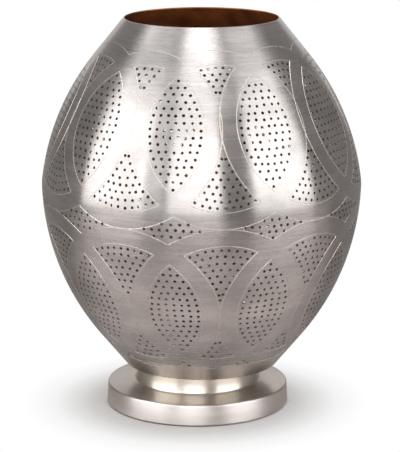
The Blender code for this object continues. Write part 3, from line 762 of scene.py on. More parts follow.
# The mouth's rim is rolled over. Its outer edge and inner edge lie this far in and down from the wall's
# ends, and its flat crown this far out and in from the wall's middle.
rim = {"start": 0.1, "outer": 0.12 * mm, "outerDrop": 0.1 * mm, "crown": (0.15 * mm, -0.2 * mm),
       "innerDrop": 0.2 * mm}


def shellOutline(low, high):
    # The wall between two distances, outside upwards and inside back down, with the mouth's rim or the floor
    s = np.linspace(low, high, round((high - low) / body["rowStep"]) + 1)
    if low < body["brightBand"]:
        s[np.abs(s - body["brightBand"]).argmin()] = body["brightBand"]
    wall, top, bottom = body["wall"], body["top"], body["bottom"]
    outside = list(zip(*wallAt(s)[:2]))
    if low < 0:
        s[0] += wall * body["floorLift"]
    r, z, lean = wallAt(s)
    inside = list(zip(r - wall * np.cos(lean), z - wall * np.sin(lean)))[::-1]
    if low < 0:
        return [(body["floorHole"], bottom + wall), (body["floorHole"], bottom)] + outside + inside
    edge, back = Vector(outside[-1]), Vector(inside[0])
    middle = ((edge + back) / 2).x
    outside[-1] = tuple(edge.lerp(Vector(outside[-2]), rim["start"]))
    inside[0] = (back.x, back.y - rim["innerDrop"])
    outside.append((edge.x - rim["outer"], top - rim["outerDrop"]))
    return outside + [(middle + x, top) for x in rim["crown"]] + inside


shell = {
    # A face whose normal agrees this well with the wall's gets the wall's own
    "match": 0.9,
    # A face that looks this much inwards, or up on the floor, is inside
    "inwards": 0.5,
    "upwards": 0.7,
    # The holes vary between the smallest and the largest share of their diameter
    "cut": {"Hole Diameter": 2.3 * mm, "Smallest": 0.93, "Largest": 1.08, "Hole Sides": 8,
            "Pin Length": 4.0 * mm, "Line Radius": engraving["radius"], "Line Sides": 6,
            "Hole Finish": punchedBrass, "Cut Finish": cutEdge},
}


def readAll(items, name, width=1):
    # One property of all of a mesh's items, as an array
    values = np.empty(len(items) * width, dtype=np.int32 if width == 1 else float)
    items.foreach_get(name, values)
    return values if width == 1 else values.reshape(-1, width)


def analyticNormals(mesh):
    # The boolean leaves long triangles, so the wall's own normals are worked out from its line.
    points = readAll(mesh.vertices, "co", 3)[readAll(mesh.loops, "vertex_index")]
    sizes = readAll(mesh.polygons, "loop_total")
    normals = np.repeat(readAll(mesh.polygons, "normal", 3), sizes, axis=0)
    angle = np.arctan2(points[:, 0], -points[:, 1])
    outward = outwardAt(angle, np.interp(points[:, 2], wallLine[:, 1], wallLine[:, 2]))
    match = (normals * outward).sum(axis=1)
    normals[match > shell["match"]] = outward[match > shell["match"]]
    normals[match < -shell["match"]] = -outward[match < -shell["match"]]
    mesh.polygons.foreach_set("use_smooth", np.ones(len(sizes), dtype=bool))
    mesh.normals_split_custom_set(normals.tolist())
    # The same angles give the UV map, with the seam at the back: a face that crosses it stays whole
    face = np.repeat(np.arange(len(sizes)), sizes)
    furthest = np.zeros(len(sizes))
    np.maximum.at(furthest, face, angle)
    u = angle / fullTurn + 0.5
    u[(furthest[face] > 2.0) & (angle < -2.0)] += 1.0
    v = np.interp(points[:, 2], wallLine[:, 1], wallRun) / uvLength
    layer = mesh.uv_layers.get("round") or mesh.uv_layers.new(name="round")
    layer.data.foreach_set("uv", np.stack([u, v], axis=1).ravel())


bandTop = float(wallAt(body["brightBand"])[1])
piercing = piercingTree(len(lineSets))
lineObjects = {f"Lines {k + 1}": lineMesh(f"lines{k + 1}", lines) for k, lines in enumerate(lineSets)}


def dress(piece, rider, node):
    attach(piece, rider)
    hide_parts(node)


def piercedShell(name, node, outline, holes, lining):
    mesh = turnedMesh(name, outline, body["sides"])
    piece = linkedObject(name, mesh)
    mesh.materials.append(brushedSilver)
    mesh.materials.append(bandSilver)
    inside = []
    for polygon in mesh.polygons:
        x, y, z = polygon.center
        polygon.material_index = int(z < bandTop)
        lean = float(np.interp(z, wallLine[:, 1], wallLine[:, 2]))
        outward = Vector(outwardAt(math.atan2(x, -y), lean).tolist())
        onFloor = z < body["bottom"] + 2 * body["wall"] and polygon.normal.z > shell["upwards"]
        inside.append(polygon.normal.dot(outward) < -shell["inwards"] or onFloor)
    mesh.attributes.new("inside", "BOOLEAN", "FACE").data.foreach_set("value", inside)
    points = pointCloud(name + "Points", holes)
    applyTree(piece, piercing, {**shell["cut"], **lineObjects, "Holes": points, "Inside Finish": lining})
    analyticNormals(piece.data)
    bpy.data.objects.remove(points)
    dress(piece, "root", node)
    print(name, "faces", len(piece.data.polygons))


piercedShell("pierced_upper_shell", "upper_shell", shellOutline(0.0, reachUp),
             wallHoles[wallHoles[:, 1] > 0], insideBrownPaintedShade)
piercedShell("pierced_lower_shell", "lower_shell", shellOutline(reachDown, 0.0),
             wallHoles[wallHoles[:, 1] < 0], insideCopperPaintedLight)
for made in lineObjects.values():
    bpy.data.objects.remove(made)


# Turned pieces on the foot's axis

def rounded(outline, radius):
    # A closed outline with its corners rounded, by less where a run is short
    points = [Vector(p) for p in outline]
    result = []
    for k, corner in enumerate(points):
        before, after = points[k - 1] - corner, points[(k + 1) % len(points)] - corner
        reach = min(radius, before.length * 0.45, after.length * 0.45)
        if corner.x < hair or reach < hair:
            result.append(tuple(corner))
            continue
        start, end = corner + before.normalized() * reach, corner + after.normalized() * reach
        for t in (0.0, 0.33, 0.67, 1.0):
            result.append(tuple((1 - t) ** 2 * start + 2 * t * (1 - t) * corner + t * t * end))
    return result


def arcPoints(centre, radius, start, end, steps):
    angles = [math.radians(start + (end - start) * k / steps) for k in range(steps + 1)]
    return [(centre[0] + radius * math.cos(a), centre[1] + radius * math.sin(a)) for a in angles]


def flatRing(node, hole=0.0):
    # The outline of a flat round node
    low, high, radius = measured(node)
    return [(hole, high), (radius, high), (radius, low), (hole, low)]


def lathe(name, node, slot, outline, sides, rider="root", centreX=footCentre, sharp=35, place=Matrix()):
    mesh = turnedMesh(name, outline, sides, centreX)
    mesh.transform(place)
    mesh.materials.append(finishes[slot])
    mesh.set_sharp_from_angle(angle=math.radians(sharp))
    piece = linkedObject(name, mesh)
    dress(piece, rider, node)
    return piece


def cutAway(piece, cutter, place):
    # Takes a cutter, set at this place, out of a piece
    cutter.transform(place)
    pin = linkedObject("cutter", cutter)
    cut = piece.modifiers.new("Cut", "BOOLEAN")
    cut.object = pin
    keepResult(piece, cut)
    bpy.data.objects.remove(pin)


foot = {
    "discBottom": 70.2 * mm,
    "discTop": 69.5 * mm,
    "discHeight": 16.4 * mm,
    "discInnerHeight": 18.2 * mm,
    "rounding": 1.6 * mm,
    "cove": 2.4 * mm,
    # The hem is rolled down round the felt
    "lipDrop": 0.6 * mm,
    "lip": 1.1 * mm,
    "hem": 6.0 * mm,
    "neck": 47.5 * mm,
    "waist": 0.7 * mm,
    "wall": 1.2 * mm,
    "sides": 200,
    # Steps of the neck and of the disc's top
    "neckSteps": 12,
    "discSteps": 8,
    # The satin side starts this far under the disc's edge
    "satinDrop": 0.6 * mm,
    "inletHeight": 7.2 * mm,
    "inletRadius": 3.7 * mm,
    "inletReach": 4 * mm,
    "inletSides": 32,
}


def footOutline():
    low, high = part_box("foot_shell")
    bottom, top, wall = low.z, high.z, foot["wall"]
    neck, waist, cove, edge, lip = [foot[key] for key in ("neck", "waist", "cove", "rounding", "lip")]
    discBottom, discTop = foot["discBottom"], foot["discTop"]
    discHeight, innerHeight = foot["discHeight"], foot["discInnerHeight"]
    neckHigh, neckLow = top - wall, innerHeight + cove
    outside = [(tubeHole, top)] + arcPoints((neck - wall, neckHigh), wall, 90, 0, 5)
    for k in range(1, foot["neckSteps"]):
        t = k / foot["neckSteps"]
        outside.append((neck - waist * math.sin(math.pi * t), neckHigh + (neckLow - neckHigh) * t))
    discInner = neck + cove
    outside += arcPoints((discInner, neckLow), cove, 180, 265, 10)
    fall, run = innerHeight - discHeight, discTop - edge - discInner
    for k in range(foot["discSteps"]):
        outside.append((discInner + run * k / foot["discSteps"], innerHeight - fall * k / foot["discSteps"]))
    slope = math.degrees(math.atan(fall / run))
    outside += arcPoints((discTop - edge, discHeight - edge), edge, 90 - slope * 0.7, 3, 6)
    outside += arcPoints((discBottom - lip / 2, bottom - foot["lipDrop"] + lip / 2), lip / 2, 3, -180, 8)
    hem = discBottom - foot["hem"]
    inside = [
        (hem, bottom + wall),
        (discBottom - wall, bottom + wall),
        (discTop - wall, discHeight - wall),
        (neck - wall, innerHeight - wall),
        (neck - waist - wall, (neckLow + neckHigh) / 2),
        (neck - wall, top - wall),
        (tubeHole, top - wall),
    ]
    return outside + [(discBottom - lip, bottom), (hem, bottom)] + inside


# The cord's inlet goes square through the leaning side, at the back
inletFall = (foot["discBottom"] - foot["discTop"]) / (foot["discHeight"] - foot["rounding"])
inletOut = foot["discBottom"] - inletFall * (foot["inletHeight"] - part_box("foot_shell")[0].z)
inletPlace = (Matrix.Translation((footCentre, inletOut, foot["inletHeight"]))
              @ Matrix.Rotation(math.atan(inletFall) - math.pi / 2, 4, "X"))
radius, reach = foot["inletRadius"], foot["inletReach"]
inletPin = [(0, -reach), (radius, -reach), (radius, reach), (0, reach)]
footPiece = lathe("turned_foot", "foot_shell", "polished_plate", footOutline(), foot["sides"])
footPiece.data.materials.append(satinSilver)
for polygon in footPiece.data.polygons:
    polygon.material_index = int(polygon.center.z < foot["discHeight"] - foot["satinDrop"])
cutAway(footPiece, turnedMesh("inletPin", inletPin, foot["inletSides"]), inletPlace)
print("foot made")

base = {"feltRound": 0.35 * mm, "feltSides": 120, "weightRound": 0.5 * mm, "weightSides": 96}
lathe("pressed_felt_pad", "felt_pad", "felt", rounded(flatRing("felt_pad"), base["feltRound"]),
      base["feltSides"])
lathe("cast_base_weight", "base_plate", "zinc_steel",
      rounded(flatRing("base_plate", tubeHole), base["weightRound"]), base["weightSides"])

# Cord grommet: a waist through the disc's side, with a lip outside and a flange inside
grommet = {"bore": 2.6 * mm, "waist": 3.4 * mm, "lip": 4.1 * mm, "outer": 1.3 * mm, "seat": 0.3 * mm,
           "flangeLow": -1.9 * mm, "inner": -2.9 * mm, "round": 0.3 * mm, "sides": 48}
corners = (("lip", "outer"), ("lip", "seat"), ("waist", "seat"), ("waist", "flangeLow"),
           ("lip", "flangeLow"), ("lip", "inner"), ("bore", "inner"), ("bore", "outer"))
lathe("cord_inlet_grommet", "cord_grommet", "grommet_rubber",
      rounded([(grommet[r], grommet[z]) for r, z in corners], grommet["round"]), grommet["sides"],
      centreX=0.0, place=inletPlace)


# Threaded tube, M10 by 1, with its washers and nuts

def threadRows(low, high, crest, depth, pitch, sides, rowStep):
    # Rows up a right-hand thread: crests at this radius, and grooves this deep that run out at the ends
    rows = []
    count = round((high - low) / rowStep)
    for k in range(count + 1):
        z = low + (high - low) * k / count
        fade = min(1.0, 2 * (z - low) / pitch, 2 * (high - z) / pitch)
        groove = 0.5 - 0.5 * np.cos(fullTurn * z / pitch - around(sides))
        rows.append((crest - depth * max(fade, 0.0) * groove, z))
    return rows


tube = {
    "bore": 3.75 * mm,
    "depth": 0.55 * mm,
    "pitch": 1.0 * mm,
    "rowStep": 0.2 * mm,
    "sides": 40,
    "washerRound": 0.3 * mm,
    "washerSides": 96,
    "teeth": 12,
    "toothDepth": 1.4 * mm,
    "nutSides": 96,
    # A nut's flat land and the bevel outside it, as shares of half its width, and the bevel's height
    "land": 0.96,
    "bevel": 0.21,
    "chamfer": 0.7 * mm,
    "lead": 0.4 * mm,
}


def nutOutline(node):
    low, high, corner = measured(node)
    flat = corner * math.cos(math.pi / 6)
    # Half the width by angle, and the bevel that cuts its corners off
    wrapped = (around(tube["nutSides"]) + math.pi / 6) % (math.pi / 3) - math.pi / 6
    across = flat * (1 / np.cos(wrapped))
    bevel = [(np.minimum(across, flat * (tube["land"] + tube["bevel"] * share)), tube["chamfer"] * share)
             for share in (0, 0.5, 1)]
    faces = [(r, high - drop) for r, drop in bevel] + [(r, low + drop) for r, drop in bevel[::-1]]
    lead = tube["lead"]
    return [(tubeHole + lead, high)] + faces + [(tubeHole + lead, low), (tubeHole, low + lead),
                                                (tubeHole, high - lead)]


low, high, radius = measured("threaded_tube")
rows = threadRows(low, high, radius, tube["depth"], tube["pitch"], tube["sides"], tube["rowStep"])
lathe("m10_threaded_tube", "threaded_tube", "zinc_steel", rows + [(tube["bore"], high), (tube["bore"], low)],
      tube["sides"], sharp=50)
lathe("wide_floor_washer", "floor_washer", "zinc_steel",
      rounded(flatRing("floor_washer", tubeHole), tube["washerRound"]), tube["washerSides"])
low, high, radius = measured("lock_washer")
teeth = np.clip(2 * np.sin(tube["teeth"] * around(tube["washerSides"])), -1, 1)
edge = radius - tube["toothDepth"] * (0.5 - 0.5 * teeth)
lathe("toothed_lock_washer", "lock_washer", "zinc_steel",
      [(tubeHole, high), (edge, high), (edge, low), (tubeHole, low)], tube["washerSides"])
for node in ("lower_nut", "upper_nut"):
    lathe("hexagon_" + node, node, "zinc_steel", nutOutline(node), tube["nutSides"])
print("fasteners made")

# Lampholder: ribbed cap, shell with a thread for a shade ring, porcelain insert, brass thread
holder = {
    "wall": 1.2 * mm,
    "edge": 0.3 * mm,
    "neck": 8.0 * mm,
    "neckRound": 0.5 * mm,
    "neckHeight": 7.0 * mm,
    "domeHeight": 10.0 * mm,
    "domeSteps": 16,
    "ribs": 40,
    "ribDepth": 0.45 * mm,
    # The ribs run between a plain rim and the dome
    "rim": (0.4 * mm, 1.2 * mm, 1.8 * mm),
    "ribEnd": 0.8 * mm,
    "sides": 240,
    "shellPitch": 3.2 * mm,
    "shellGroove": 0.7 * mm,
    "shellThread": (4 * mm, 25 * mm),
    "shellRowStep": 0.4 * mm,
    "shellRound": 1.0 * mm,
    "plainSides": 96,
    "lip": 16.5 * mm,
    "collar": 14.1 * mm,
    "collarWall": 2.2 * mm,
    "collarHeight": 12.0 * mm,
    "insertRound": 0.5 * mm,
}
low, high, radius = measured("holder_cap")
domeLow, domeTop = low + holder["neckHeight"], low + holder["neckHeight"] + holder["domeHeight"]


def dome(wall, start, end):
    # The dome's quarter round, this far inside its outside
    reach, rise = radius - wall - holder["neck"], holder["domeHeight"] - wall
    return [(holder["neck"] + reach * math.cos(a), domeTop - rise * math.sin(a))
            for a in np.linspace(start, end, holder["domeSteps"] + 1)]


ribbed = radius - holder["ribDepth"] * (0.5 + 0.5 * np.cos(holder["ribs"] * around(holder["sides"])))
rimEdge, rimLow, ribsHigh = [high - drop for drop in holder["rim"]]
neck, bore = holder["neck"], radius - holder["wall"]
lathe("ribbed_holder_cap", "holder_cap", "black_phenolic", [
    (radius - holder["edge"], high),
    (radius, rimEdge),
    (radius, rimLow),
    (ribbed, ribsHigh),
    (ribbed, domeTop + holder["ribEnd"]),
    *dome(0.0, 0, math.pi / 2),
    (neck, low + holder["neckRound"]),
    (neck - holder["neckRound"], low),
    (tubeHole, low),
    (tubeHole, domeLow + holder["wall"]),
    *dome(holder["wall"], math.pi / 2, 0),
    (bore, high),
], holder["sides"])

low, high, radius = measured("holder_shell")
bore, edge, corner = radius - holder["wall"], holder["edge"], holder["shellRound"]
start, stop = holder["shellThread"]
lathe("threaded_holder_shell", "holder_shell", "black_phenolic", [
    (bore, low),
    (radius - edge, low),
    (radius, low + edge),
    *threadRows(low + start, low + stop, radius, holder["shellGroove"], holder["shellPitch"],
                holder["plainSides"], holder["shellRowStep"]),
    *arcPoints((radius - corner, high - corner), corner, 0, 90, 6),
    (holder["lip"] + edge, high),
    (holder["lip"], high - edge),
    (holder["lip"], high - holder["wall"]),
    (bore, high - holder["wall"]),
], holder["plainSides"])

low, high, radius = measured("holder_insert")
floorTop, collar = high - holder["collarHeight"], holder["collar"]
lathe("porcelain_insert", "holder_insert", "porcelain", rounded([
    (0.0, floorTop),
    (collar, floorTop),
    (collar, high),
    (collar + holder["collarWall"], high),
    (collar + holder["collarWall"], floorTop),
    (radius, floorTop),
    (radius, low),
    (0.0, low),
], holder["insertRound"]), holder["plainSides"])

# The E27 thread is rolled into the bulb's cap and the holder's sleeve in step, a gap apart.
rolled = {"pitch": 3.6286 * mm, "depth": 0.8 * mm, "capSheet": 0.35 * mm, "gap": 0.3 * mm,
          "sleeveSheet": 0.4 * mm, "sides": 72, "rowStep": 0.45 * mm, "skirt": 3.5 * mm, "tip": 0.8 * mm}


def rolledSheet(low, high, crest, sheet, below=(), above=()):
    # A sheet with the thread rolled into it, and plain turned ends
    rows = threadRows(low, high, crest, rolled["depth"], rolled["pitch"], rolled["sides"], rolled["rowStep"])
    rows = [*below, *rows, *above]
    return rows + [(r - sheet, z) for r, z in rows[::-1]]


capLow, capHigh, capRadius = measured("bulb_cap")
low, high, _ = measured("thread_sleeve")
sheet = rolled["sleeveSheet"]
lathe("rolled_thread_sleeve", "thread_sleeve", "contact_brass",
      rolledSheet(low, high, capRadius + rolled["gap"] + sheet, sheet), rolled["sides"])

contacts = {"springTop": 0.6, "springDrop": 0.6 * mm, "springRound": 0.3 * mm, "springSides": 48,
            "slot": (0.8 * mm, 8.0 * mm, 1.6 * mm), "screwRound": 0.5 * mm, "screwSides": 40}
low, high, radius = measured("centre_contact")
lathe("sprung_centre_contact", "centre_contact", "contact_brass", rounded([
    (0, high),
    (radius * contacts["springTop"], high),
    (radius, high - contacts["springDrop"]),
    (radius, low),
    (0, low),
], contacts["springRound"]), contacts["springSides"])
for node in ("terminal_screw_1", "terminal_screw_2"):
    screw = lathe("slotted_" + node, node, "contact_brass", rounded(flatRing(node), contacts["screwRound"]),
                  contacts["screwSides"], centreX=middleX(node))
    blade = bpy.data.meshes.new("blade")
    cube = bmesh.new()
    bmesh.ops.create_cube(cube, size=1.0)
    cube.to_mesh(blade)
    cube.free()
    cutAway(screw, blade, Matrix.Translation((middleX(node), 0.0, measured(node)[1]))
            @ Matrix.Diagonal((*contacts["slot"], 1.0)))
print("holder made")

# Bulb, which turns and lifts out: clear glass, a rolled cap and four light strips
bulb = {
    "glass": 30.0 * mm,
    "wall": 0.8 * mm,
    "globeEnd": -30,
    "globeSteps": 44,
    "flareSteps": 24,
    "sides": 96,
    # How far the glass stays inside the cap's crests, and above its edge, where it narrows
    "neckGap": 0.8 * mm,
    "neckRise": 0.3 * mm,
    "neckDrop": 1.2 * mm,
    "neckInCap": 11.4 * mm,
    # The solder blob, as shares of its radius and heights over its tip
    "blob": ((0.8, 0.3 * mm), (0.4, 0.05 * mm)),
    "blobTop": (0.98, 0.4 * mm),
    "smallSides": 48,
    "insulatorRound": 0.5 * mm,
    "capEdge": (0.1 * mm, 0.4 * mm),
    "capTip": 0.5 * mm,
    "stemSides": 64,
    "stemRound": 1.5 * mm,
    "wire": 0.5 * mm,
    # Where the lower lead starts, and how the upper one rises out of the stem and bends to its ring
    "lowerStart": 3.2 * mm,
    "upperStart": 0.2 * mm,
    "upperBend": (0.6 * mm, 1 * mm),
    "ringGap": 18,
    "ringSteps": 64,
    "strip": 1.05 * mm,
    "stripShoulder": (0.7, 0.5 * mm),
    "stripSides": 20,
    "tab": 0.28 * mm,
    "tabLength": 1.6 * mm,
    "bareTab": 0.9,
}
low, high, radius = measured("bulb_contact")
share, drop = bulb["blobTop"]
lathe("soldered_contact", "bulb_contact", "nickel",
      [(0, high), (radius * share, high), (radius, high - drop)]
      + [(radius * share, low + rise) for share, rise in bulb["blob"]] + [(0, low)],
      bulb["smallSides"], "bulb_carrier")
tip = radius
low, high, radius = measured("bulb_insulator")
lathe("black_glass_insulator", "bulb_insulator", "black_phenolic",
      rounded([(0, high), (radius, high), (tip, low), (0, low)], bulb["insulatorRound"]),
      rolled["sides"], "bulb")
inset, edge = bulb["capEdge"]
lathe("rolled_bulb_cap", "bulb_cap", "nickel",
      rolledSheet(capLow + rolled["tip"], capHigh - rolled["skirt"], capRadius, rolled["capSheet"],
                  [(capRadius - bulb["capTip"], capLow), (capRadius - inset, capLow + edge)],
                  [(capRadius - inset, capHigh - edge), (capRadius, capHigh)]), rolled["sides"], "bulb")
glassLow, glassTop, _ = measured("bulb_glass")


def glassLine(wall):
    # Pear shape: most of a globe, a curve that runs in to the neck, and a narrower end in the cap
    line = arcPoints((0, glassTop - bulb["glass"]), bulb["glass"] - wall, 90, bulb["globeEnd"],
                     bulb["globeSteps"])
    line[0] = (0.0, line[0][1])
    start, end = Vector(line[-1]), Vector((capRadius - bulb["neckGap"] - wall, capHigh + bulb["neckRise"]))
    lean = math.radians(bulb["globeEnd"])
    reach = (start.y - end.y) / 2
    bend = start + reach * Vector((math.sin(lean), -math.cos(lean)))
    straight = end + Vector((0.0, reach))
    for k in range(1, bulb["flareSteps"] + 1):
        t = k / bulb["flareSteps"]
        u = 1 - t
        line.append(tuple(u ** 3 * start + 3 * t * u * u * bend + 3 * t * t * u * straight + t ** 3 * end))
    neck = bulb["neckInCap"] - wall
    return line + [(neck, capHigh - bulb["neckDrop"]), (neck, glassLow)]


lathe("blown_bulb_glass", "bulb_glass", "bulb_glass", glassLine(0.0) + glassLine(bulb["wall"])[::-1],
      bulb["sides"], "bulb", sharp=60)
low, stemTop, _ = measured("glass_stem")
flare = bulb["neckInCap"] - bulb["wall"] - 0.4 * mm
lathe("flared_glass_stem", "glass_stem", "bulb_glass", rounded([
    (0, stemTop),
    (2.2 * mm, stemTop),
    (3.0 * mm, stemTop - 2 * mm),
    (2.4 * mm, stemTop - 9 * mm),
    (3.0 * mm, capHigh + 4 * mm),
    (flare, low + 1.2 * mm),
    (flare, low),
    (0, low),
], bulb["stemRound"]), bulb["stemSides"], "bulb", sharp=60)


def wire(name, node, points):
    path = bpy.data.curves.new(name, "CURVE")
    path.dimensions = "3D"
    path.bevel_depth = bulb["wire"]
    path.bevel_resolution = 3
    path.use_fill_caps = True
    line = path.splines.new("POLY")
    line.points.add(len(points) - 1)
    for point, (x, y, z) in zip(line.points, points):
        point.co = (x + footCentre, y, z, 1.0)
    drawn = bpy.data.objects.new(name + "Path", path)
    piece = linkedObject(name, bpy.data.meshes.new_from_object(drawn))
    bpy.data.objects.remove(drawn)
    piece.data.materials.clear()
    piece.data.materials.append(finishes["nickel"])
    for polygon in piece.data.polygons:
        polygon.use_smooth = True
    dress(piece, "bulb", node)


def ringPoints(radius, height):
    turn = math.radians(360 - bulb["ringGap"])
    angles = [turn * k / bulb["ringSteps"] for k in range(bulb["ringSteps"] + 1)]
    return [(radius * math.cos(a), radius * math.sin(a), height) for a in angles]


def ringRadius(node):
    low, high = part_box(node)
    return (high.y - low.y) / 2 - bulb["wire"]


# The leads' rings, which the light strips join
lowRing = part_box("lower_lead")[0].z + bulb["wire"]
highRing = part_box("upper_lead")[1].z - bulb["wire"]
lowReach, highReach = ringRadius("lower_lead"), ringRadius("upper_lead")
bendOut, bendUp = bulb["upperBend"]
wire("lower_lead_wire", "lower_lead", [(bulb["lowerStart"], 0, lowRing)] + ringPoints(lowReach, lowRing))
wire("upper_lead_wire", "upper_lead", [(0, 0, stemTop + bulb["upperStart"]), (0, 0, highRing - bendUp),
                                       (bendOut, 0, highRing)] + ringPoints(highReach, highRing))
tab, strip, tabLength = bulb["tab"], bulb["strip"], bulb["tabLength"]
shoulder, shoulderRise = bulb["stripShoulder"]
bare = tabLength * bulb["bareTab"]
for number in range(4):
    node = f"filament_{number + 1}"
    angle = fullTurn * (number + 0.5) / 4
    low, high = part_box(node)
    start = Vector((lowReach * math.cos(angle), lowReach * math.sin(angle), low.z))
    end = Vector((highReach * math.cos(angle), highReach * math.sin(angle), high.z))
    length = (end - start).length
    half = [(0, 0), (tab, 0), (tab, tabLength), (strip * shoulder, tabLength),
            (strip, tabLength + shoulderRise)]
    outline = half + [(r, length - z) for r, z in half[::-1]]
    place = (Matrix.Translation(start + Vector((footCentre, 0, 0)))
             @ (end - start).to_track_quat("Z", "Y").to_matrix().to_4x4())
    piece = lathe(f"light_strip_{number + 1}", node, "phosphor", outline, bulb["stripSides"], "bulb",
                  centreX=0.0, place=place)
    piece.data.materials.append(finishes["nickel"])
    for polygon in piece.data.polygons:
        along = (place.inverted() @ polygon.center).z
        polygon.material_index = int(not bare < along < length - bare)
print("bulb made")

# Camera at the photograph's angle
lookout = {"place": (-1.17 * mm, -1620.6 * mm, 516.3 * mm), "tilt": 76.883, "lens": 172.43, "film": 36.0,
           "furthest": 20.0}
view = bpy.data.cameras.new("camera")
view.lens = lookout["lens"]
view.sensor_width = lookout["film"]
view.clip_end = lookout["furthest"]
camera = linkedObject("camera", view)
camera.location = lookout["place"]
camera.rotation_euler = (math.radians(lookout["tilt"]), 0.0, 0.0)
bpy.context.scene.camera = camera

# Studio: a pale floor, grey walls that only reflections see, and softboxes
studio = {
    "ambient": 0.5,
    "floorColour": "#f2f1f0",
    "floorRoughness": 0.9,
    "floorGlow": 1.0,
    "floorSize": 3.6,
    # Painted shadow falloff: how much of the floor is plain white, at these shares of the span from a place
    # before the foot
    "paintedShadowFalloff": ((0.32, 0.0), (0.37, 0.28), (0.445, 0.58), (0.545, 0.85), (0.67, 1.0)),
    "paintedShadowSpan": 0.2,
    "paintedShadowCentre": (-5 * mm, -3 * mm, 0.0),
    # Painted reflection: the floor that the metal mirrors is tinted warmer, with painted shade behind the
    # lamp and further out
    "paintedReflectionTint": (1.0, 0.9, 0.85, 1.0),
    "paintedBackShade": 0.7,
    "paintedBackShadeReach": (-0.1, 0.1),
    "paintedFarShade": 0.6,
    "paintedFarShadeReach": (0.2, 0.52),
    # Further out it gets painted stripes that stand in for the softboxes' reflections: degrees from the
    # front, and a share of the glow
    "paintedSoftboxStripes": ((-84, 1.0), (-57, 2.0), (-36, 0.15), (-17, 0.4), (0, 1.3), (19, 0.0), (38, 0.4), (57, 2.4),
                (79, 2.4), (100, 1.0)),
    "paintedStripeReach": (0.36, 0.5),
    "wallColour": (1.0, 0.92, 0.85, 1.0),
    "wallRadius": 2.3,
    "wallHeight": 2.4,
    "wallGlow": 0.21,
    "wallSides": 48,
    # The softboxes: azimuth and spread in degrees, radiance, and the heights of their lower and upper edges
    "boxDistance": 1.7,
    "boxes": (
        (-66, 49, 4.2, 0.04, 1.9),
        (-36, 18, 2.0, 0.04, 1.9),
        (-5, 38, 4.2, 0.04, 1.9),
        (60, 47, 4.2, 0.04, 1.9),
        (180, 60, 0.5, 0.2, 1.9),
    ),
    "topRadius": 0.4,
    "topHeight": 2.1,
    "topPower": 19,
}


def whiteToTheEye(tree):
    # 1 for rays from the camera, off a mirror or through glass, which should all see white
    rays = addNode(tree, "ShaderNodeLightPath", {}).outputs
    either = maths(tree, "MAXIMUM", rays["Is Camera Ray"], rays["Is Glossy Ray"])
    return maths(tree, "MAXIMUM", either, rays["Is Transmission Ray"])


def glowing(tree, colour, strength):
    return addNode(tree, "ShaderNodeEmission", {"Color": colour, "Strength": strength}).outputs[0]


def floorMaterial():
    material, tree, shader = newMaterial("paleFloor", {
        "Base Color": linear(studio["floorColour"]), "Roughness": studio["floorRoughness"],
        "Specular IOR Level": 0.0})
    place = objectPlace(tree)
    across, depth, _ = addNode(tree, "ShaderNodeSeparateXYZ", {0: place}).outputs
    away = addNode(tree, "ShaderNodeVectorMath", {"operation": "LENGTH", 0: place}).outputs["Value"]
    mirrored = addNode(tree, "ShaderNodeLightPath", {}).outputs["Is Glossy Ray"]
    # What the metal mirrors: painted shade behind and far off, then painted stripes
    paintedReflectionShade = maths(tree, "MAXIMUM", mapRange(tree, depth, studio["paintedBackShadeReach"], (0.0, studio["paintedBackShade"])),
                 mapRange(tree, away, studio["paintedFarShadeReach"], (0.0, studio["paintedFarShade"])))
    level = maths(tree, "SUBTRACT", studio["floorGlow"], maths(tree, "MULTIPLY", mirrored, paintedReflectionShade))
    azimuth = maths(tree, "ARCTAN2", across, maths(tree, "MULTIPLY", depth, -1.0))
    paintedSoftboxStripes = greyRamp(tree, mapRange(tree, azimuth, (-math.pi, math.pi)),
                       [(degrees / 360 + 0.5, share) for degrees, share in studio["paintedSoftboxStripes"]])
    paintedStripeShare = mapRange(tree, away, studio["paintedStripeReach"], (0.0, mirrored))
    level = maths(tree, "MULTIPLY", level, mixed(tree, paintedStripeShare, 1.0, paintedSoftboxStripes))
    # Painted reflection tint: only rays off the metal see the floor in this warmer colour
    paintedTint = addNode(tree, "ShaderNodeMix", {"data_type": "RGBA", 0: mirrored, 6: (1, 1, 1, 1),
                                           7: studio["paintedReflectionTint"]}).outputs[2]
    # The floor keeps its lit shadow near the foot, and a glow that grows with distance paints the shadow's
    # fade to white further out
    off = addNode(tree, "ShaderNodeVectorMath", {"operation": "DISTANCE", 0: place, 1: studio["paintedShadowCentre"]})
    spanned = maths(tree, "DIVIDE", off.outputs["Value"], studio["paintedShadowSpan"])
    share = maths(tree, "MULTIPLY", whiteToTheEye(tree), greyRamp(tree, spanned, studio["paintedShadowFalloff"]))
    glow = glowing(tree, paintedTint, level)
    both = addNode(tree, "ShaderNodeMixShader", {0: share, 1: shader.outputs[0], 2: glow})
    setNode(tree, tree.nodes["Material Output"], {"Surface": both.outputs[0]})
    return material


def wallMaterial():
    material, tree, _ = newMaterial("greyWall", {})
    glow = glowing(tree, studio["wallColour"], studio["wallGlow"])
    setNode(tree, tree.nodes["Material Output"], {"Surface": glow})
    return material


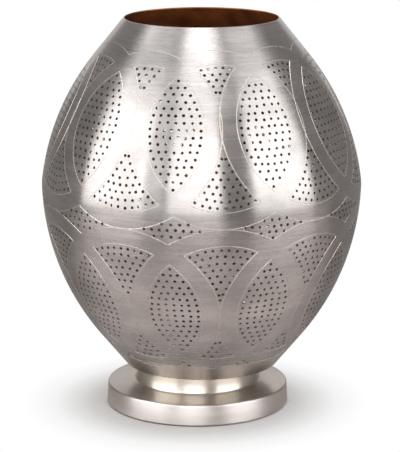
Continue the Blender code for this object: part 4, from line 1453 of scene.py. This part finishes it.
def stagePiece(name, points, faces, material):
    mesh = bpy.data.meshes.new(name)
    mesh.from_pydata(points, [], faces)
    mesh.materials.append(material)
    piece = linkedObject(name, mesh)
    piece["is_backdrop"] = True
    return piece


world = bpy.data.worlds.new("studio")
world.use_nodes = True
bpy.context.scene.world = world
air = world.node_tree
strength = mapRange(air, whiteToTheEye(air), (0.0, 1.0), (studio["ambient"], 1.0))
setNode(air, air.nodes["Background"], {"Color": (1, 1, 1, 1), "Strength": strength})

size = studio["floorSize"]
stagePiece("floor", [(-size, -size, 0), (size, -size, 0), (size, size, 0), (-size, size, 0)], [(0, 1, 2, 3)],
           floorMaterial())
sides, reach = studio["wallSides"], studio["wallRadius"]
points = [(reach * math.sin(a), -reach * math.cos(a), height)
          for height in (0.0, studio["wallHeight"]) for a in around(sides)]
faces = [(k, k + sides, (k + 1) % sides + sides, (k + 1) % sides) for k in range(sides)]
walls = stagePiece("studio_walls", points, faces, wallMaterial())
walls.visible_camera = False

# The softboxes stand far apart from the lamp and leave the floor to the light from above
lamplitPieces = bpy.data.collections.new("lamplitPieces")
for thing in bpy.context.scene.objects:
    if thing.type == "MESH" and thing.name not in ("floor", "studio_walls"):
        lamplitPieces.objects.link(thing)
distance = studio["boxDistance"]
for number, (degrees, across, radiance, low, high) in enumerate(studio["boxes"], 1):
    azimuth = math.radians(degrees)
    softbox = bpy.data.lights.new(f"softbox{number}", "AREA")
    softbox.shape = "RECTANGLE"
    softbox.size = 2 * distance * math.tan(math.radians(across / 2))
    softbox.size_y = high - low
    softbox.energy = radiance * math.pi * softbox.size * softbox.size_y
    made = linkedObject(softbox.name, softbox)
    made.location = (distance * math.sin(azimuth), -distance * math.cos(azimuth), (high + low) / 2)
    made.rotation_euler = (math.pi / 2, 0.0, azimuth)
    made.visible_camera = False
    made.light_linking.receiver_collection = lamplitPieces
topLight = bpy.data.lights.new("topLight", "AREA")
topLight.shape = "DISK"
topLight.size = 2 * studio["topRadius"]
topLight.energy = studio["topPower"]
linkedObject("topLight", topLight).location = (0.0, 0.0, studio["topHeight"])
bpy.context.scene.view_settings.view_transform = "Standard"
print("studio made")

bpy.context.view_layer.update()
low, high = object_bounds()
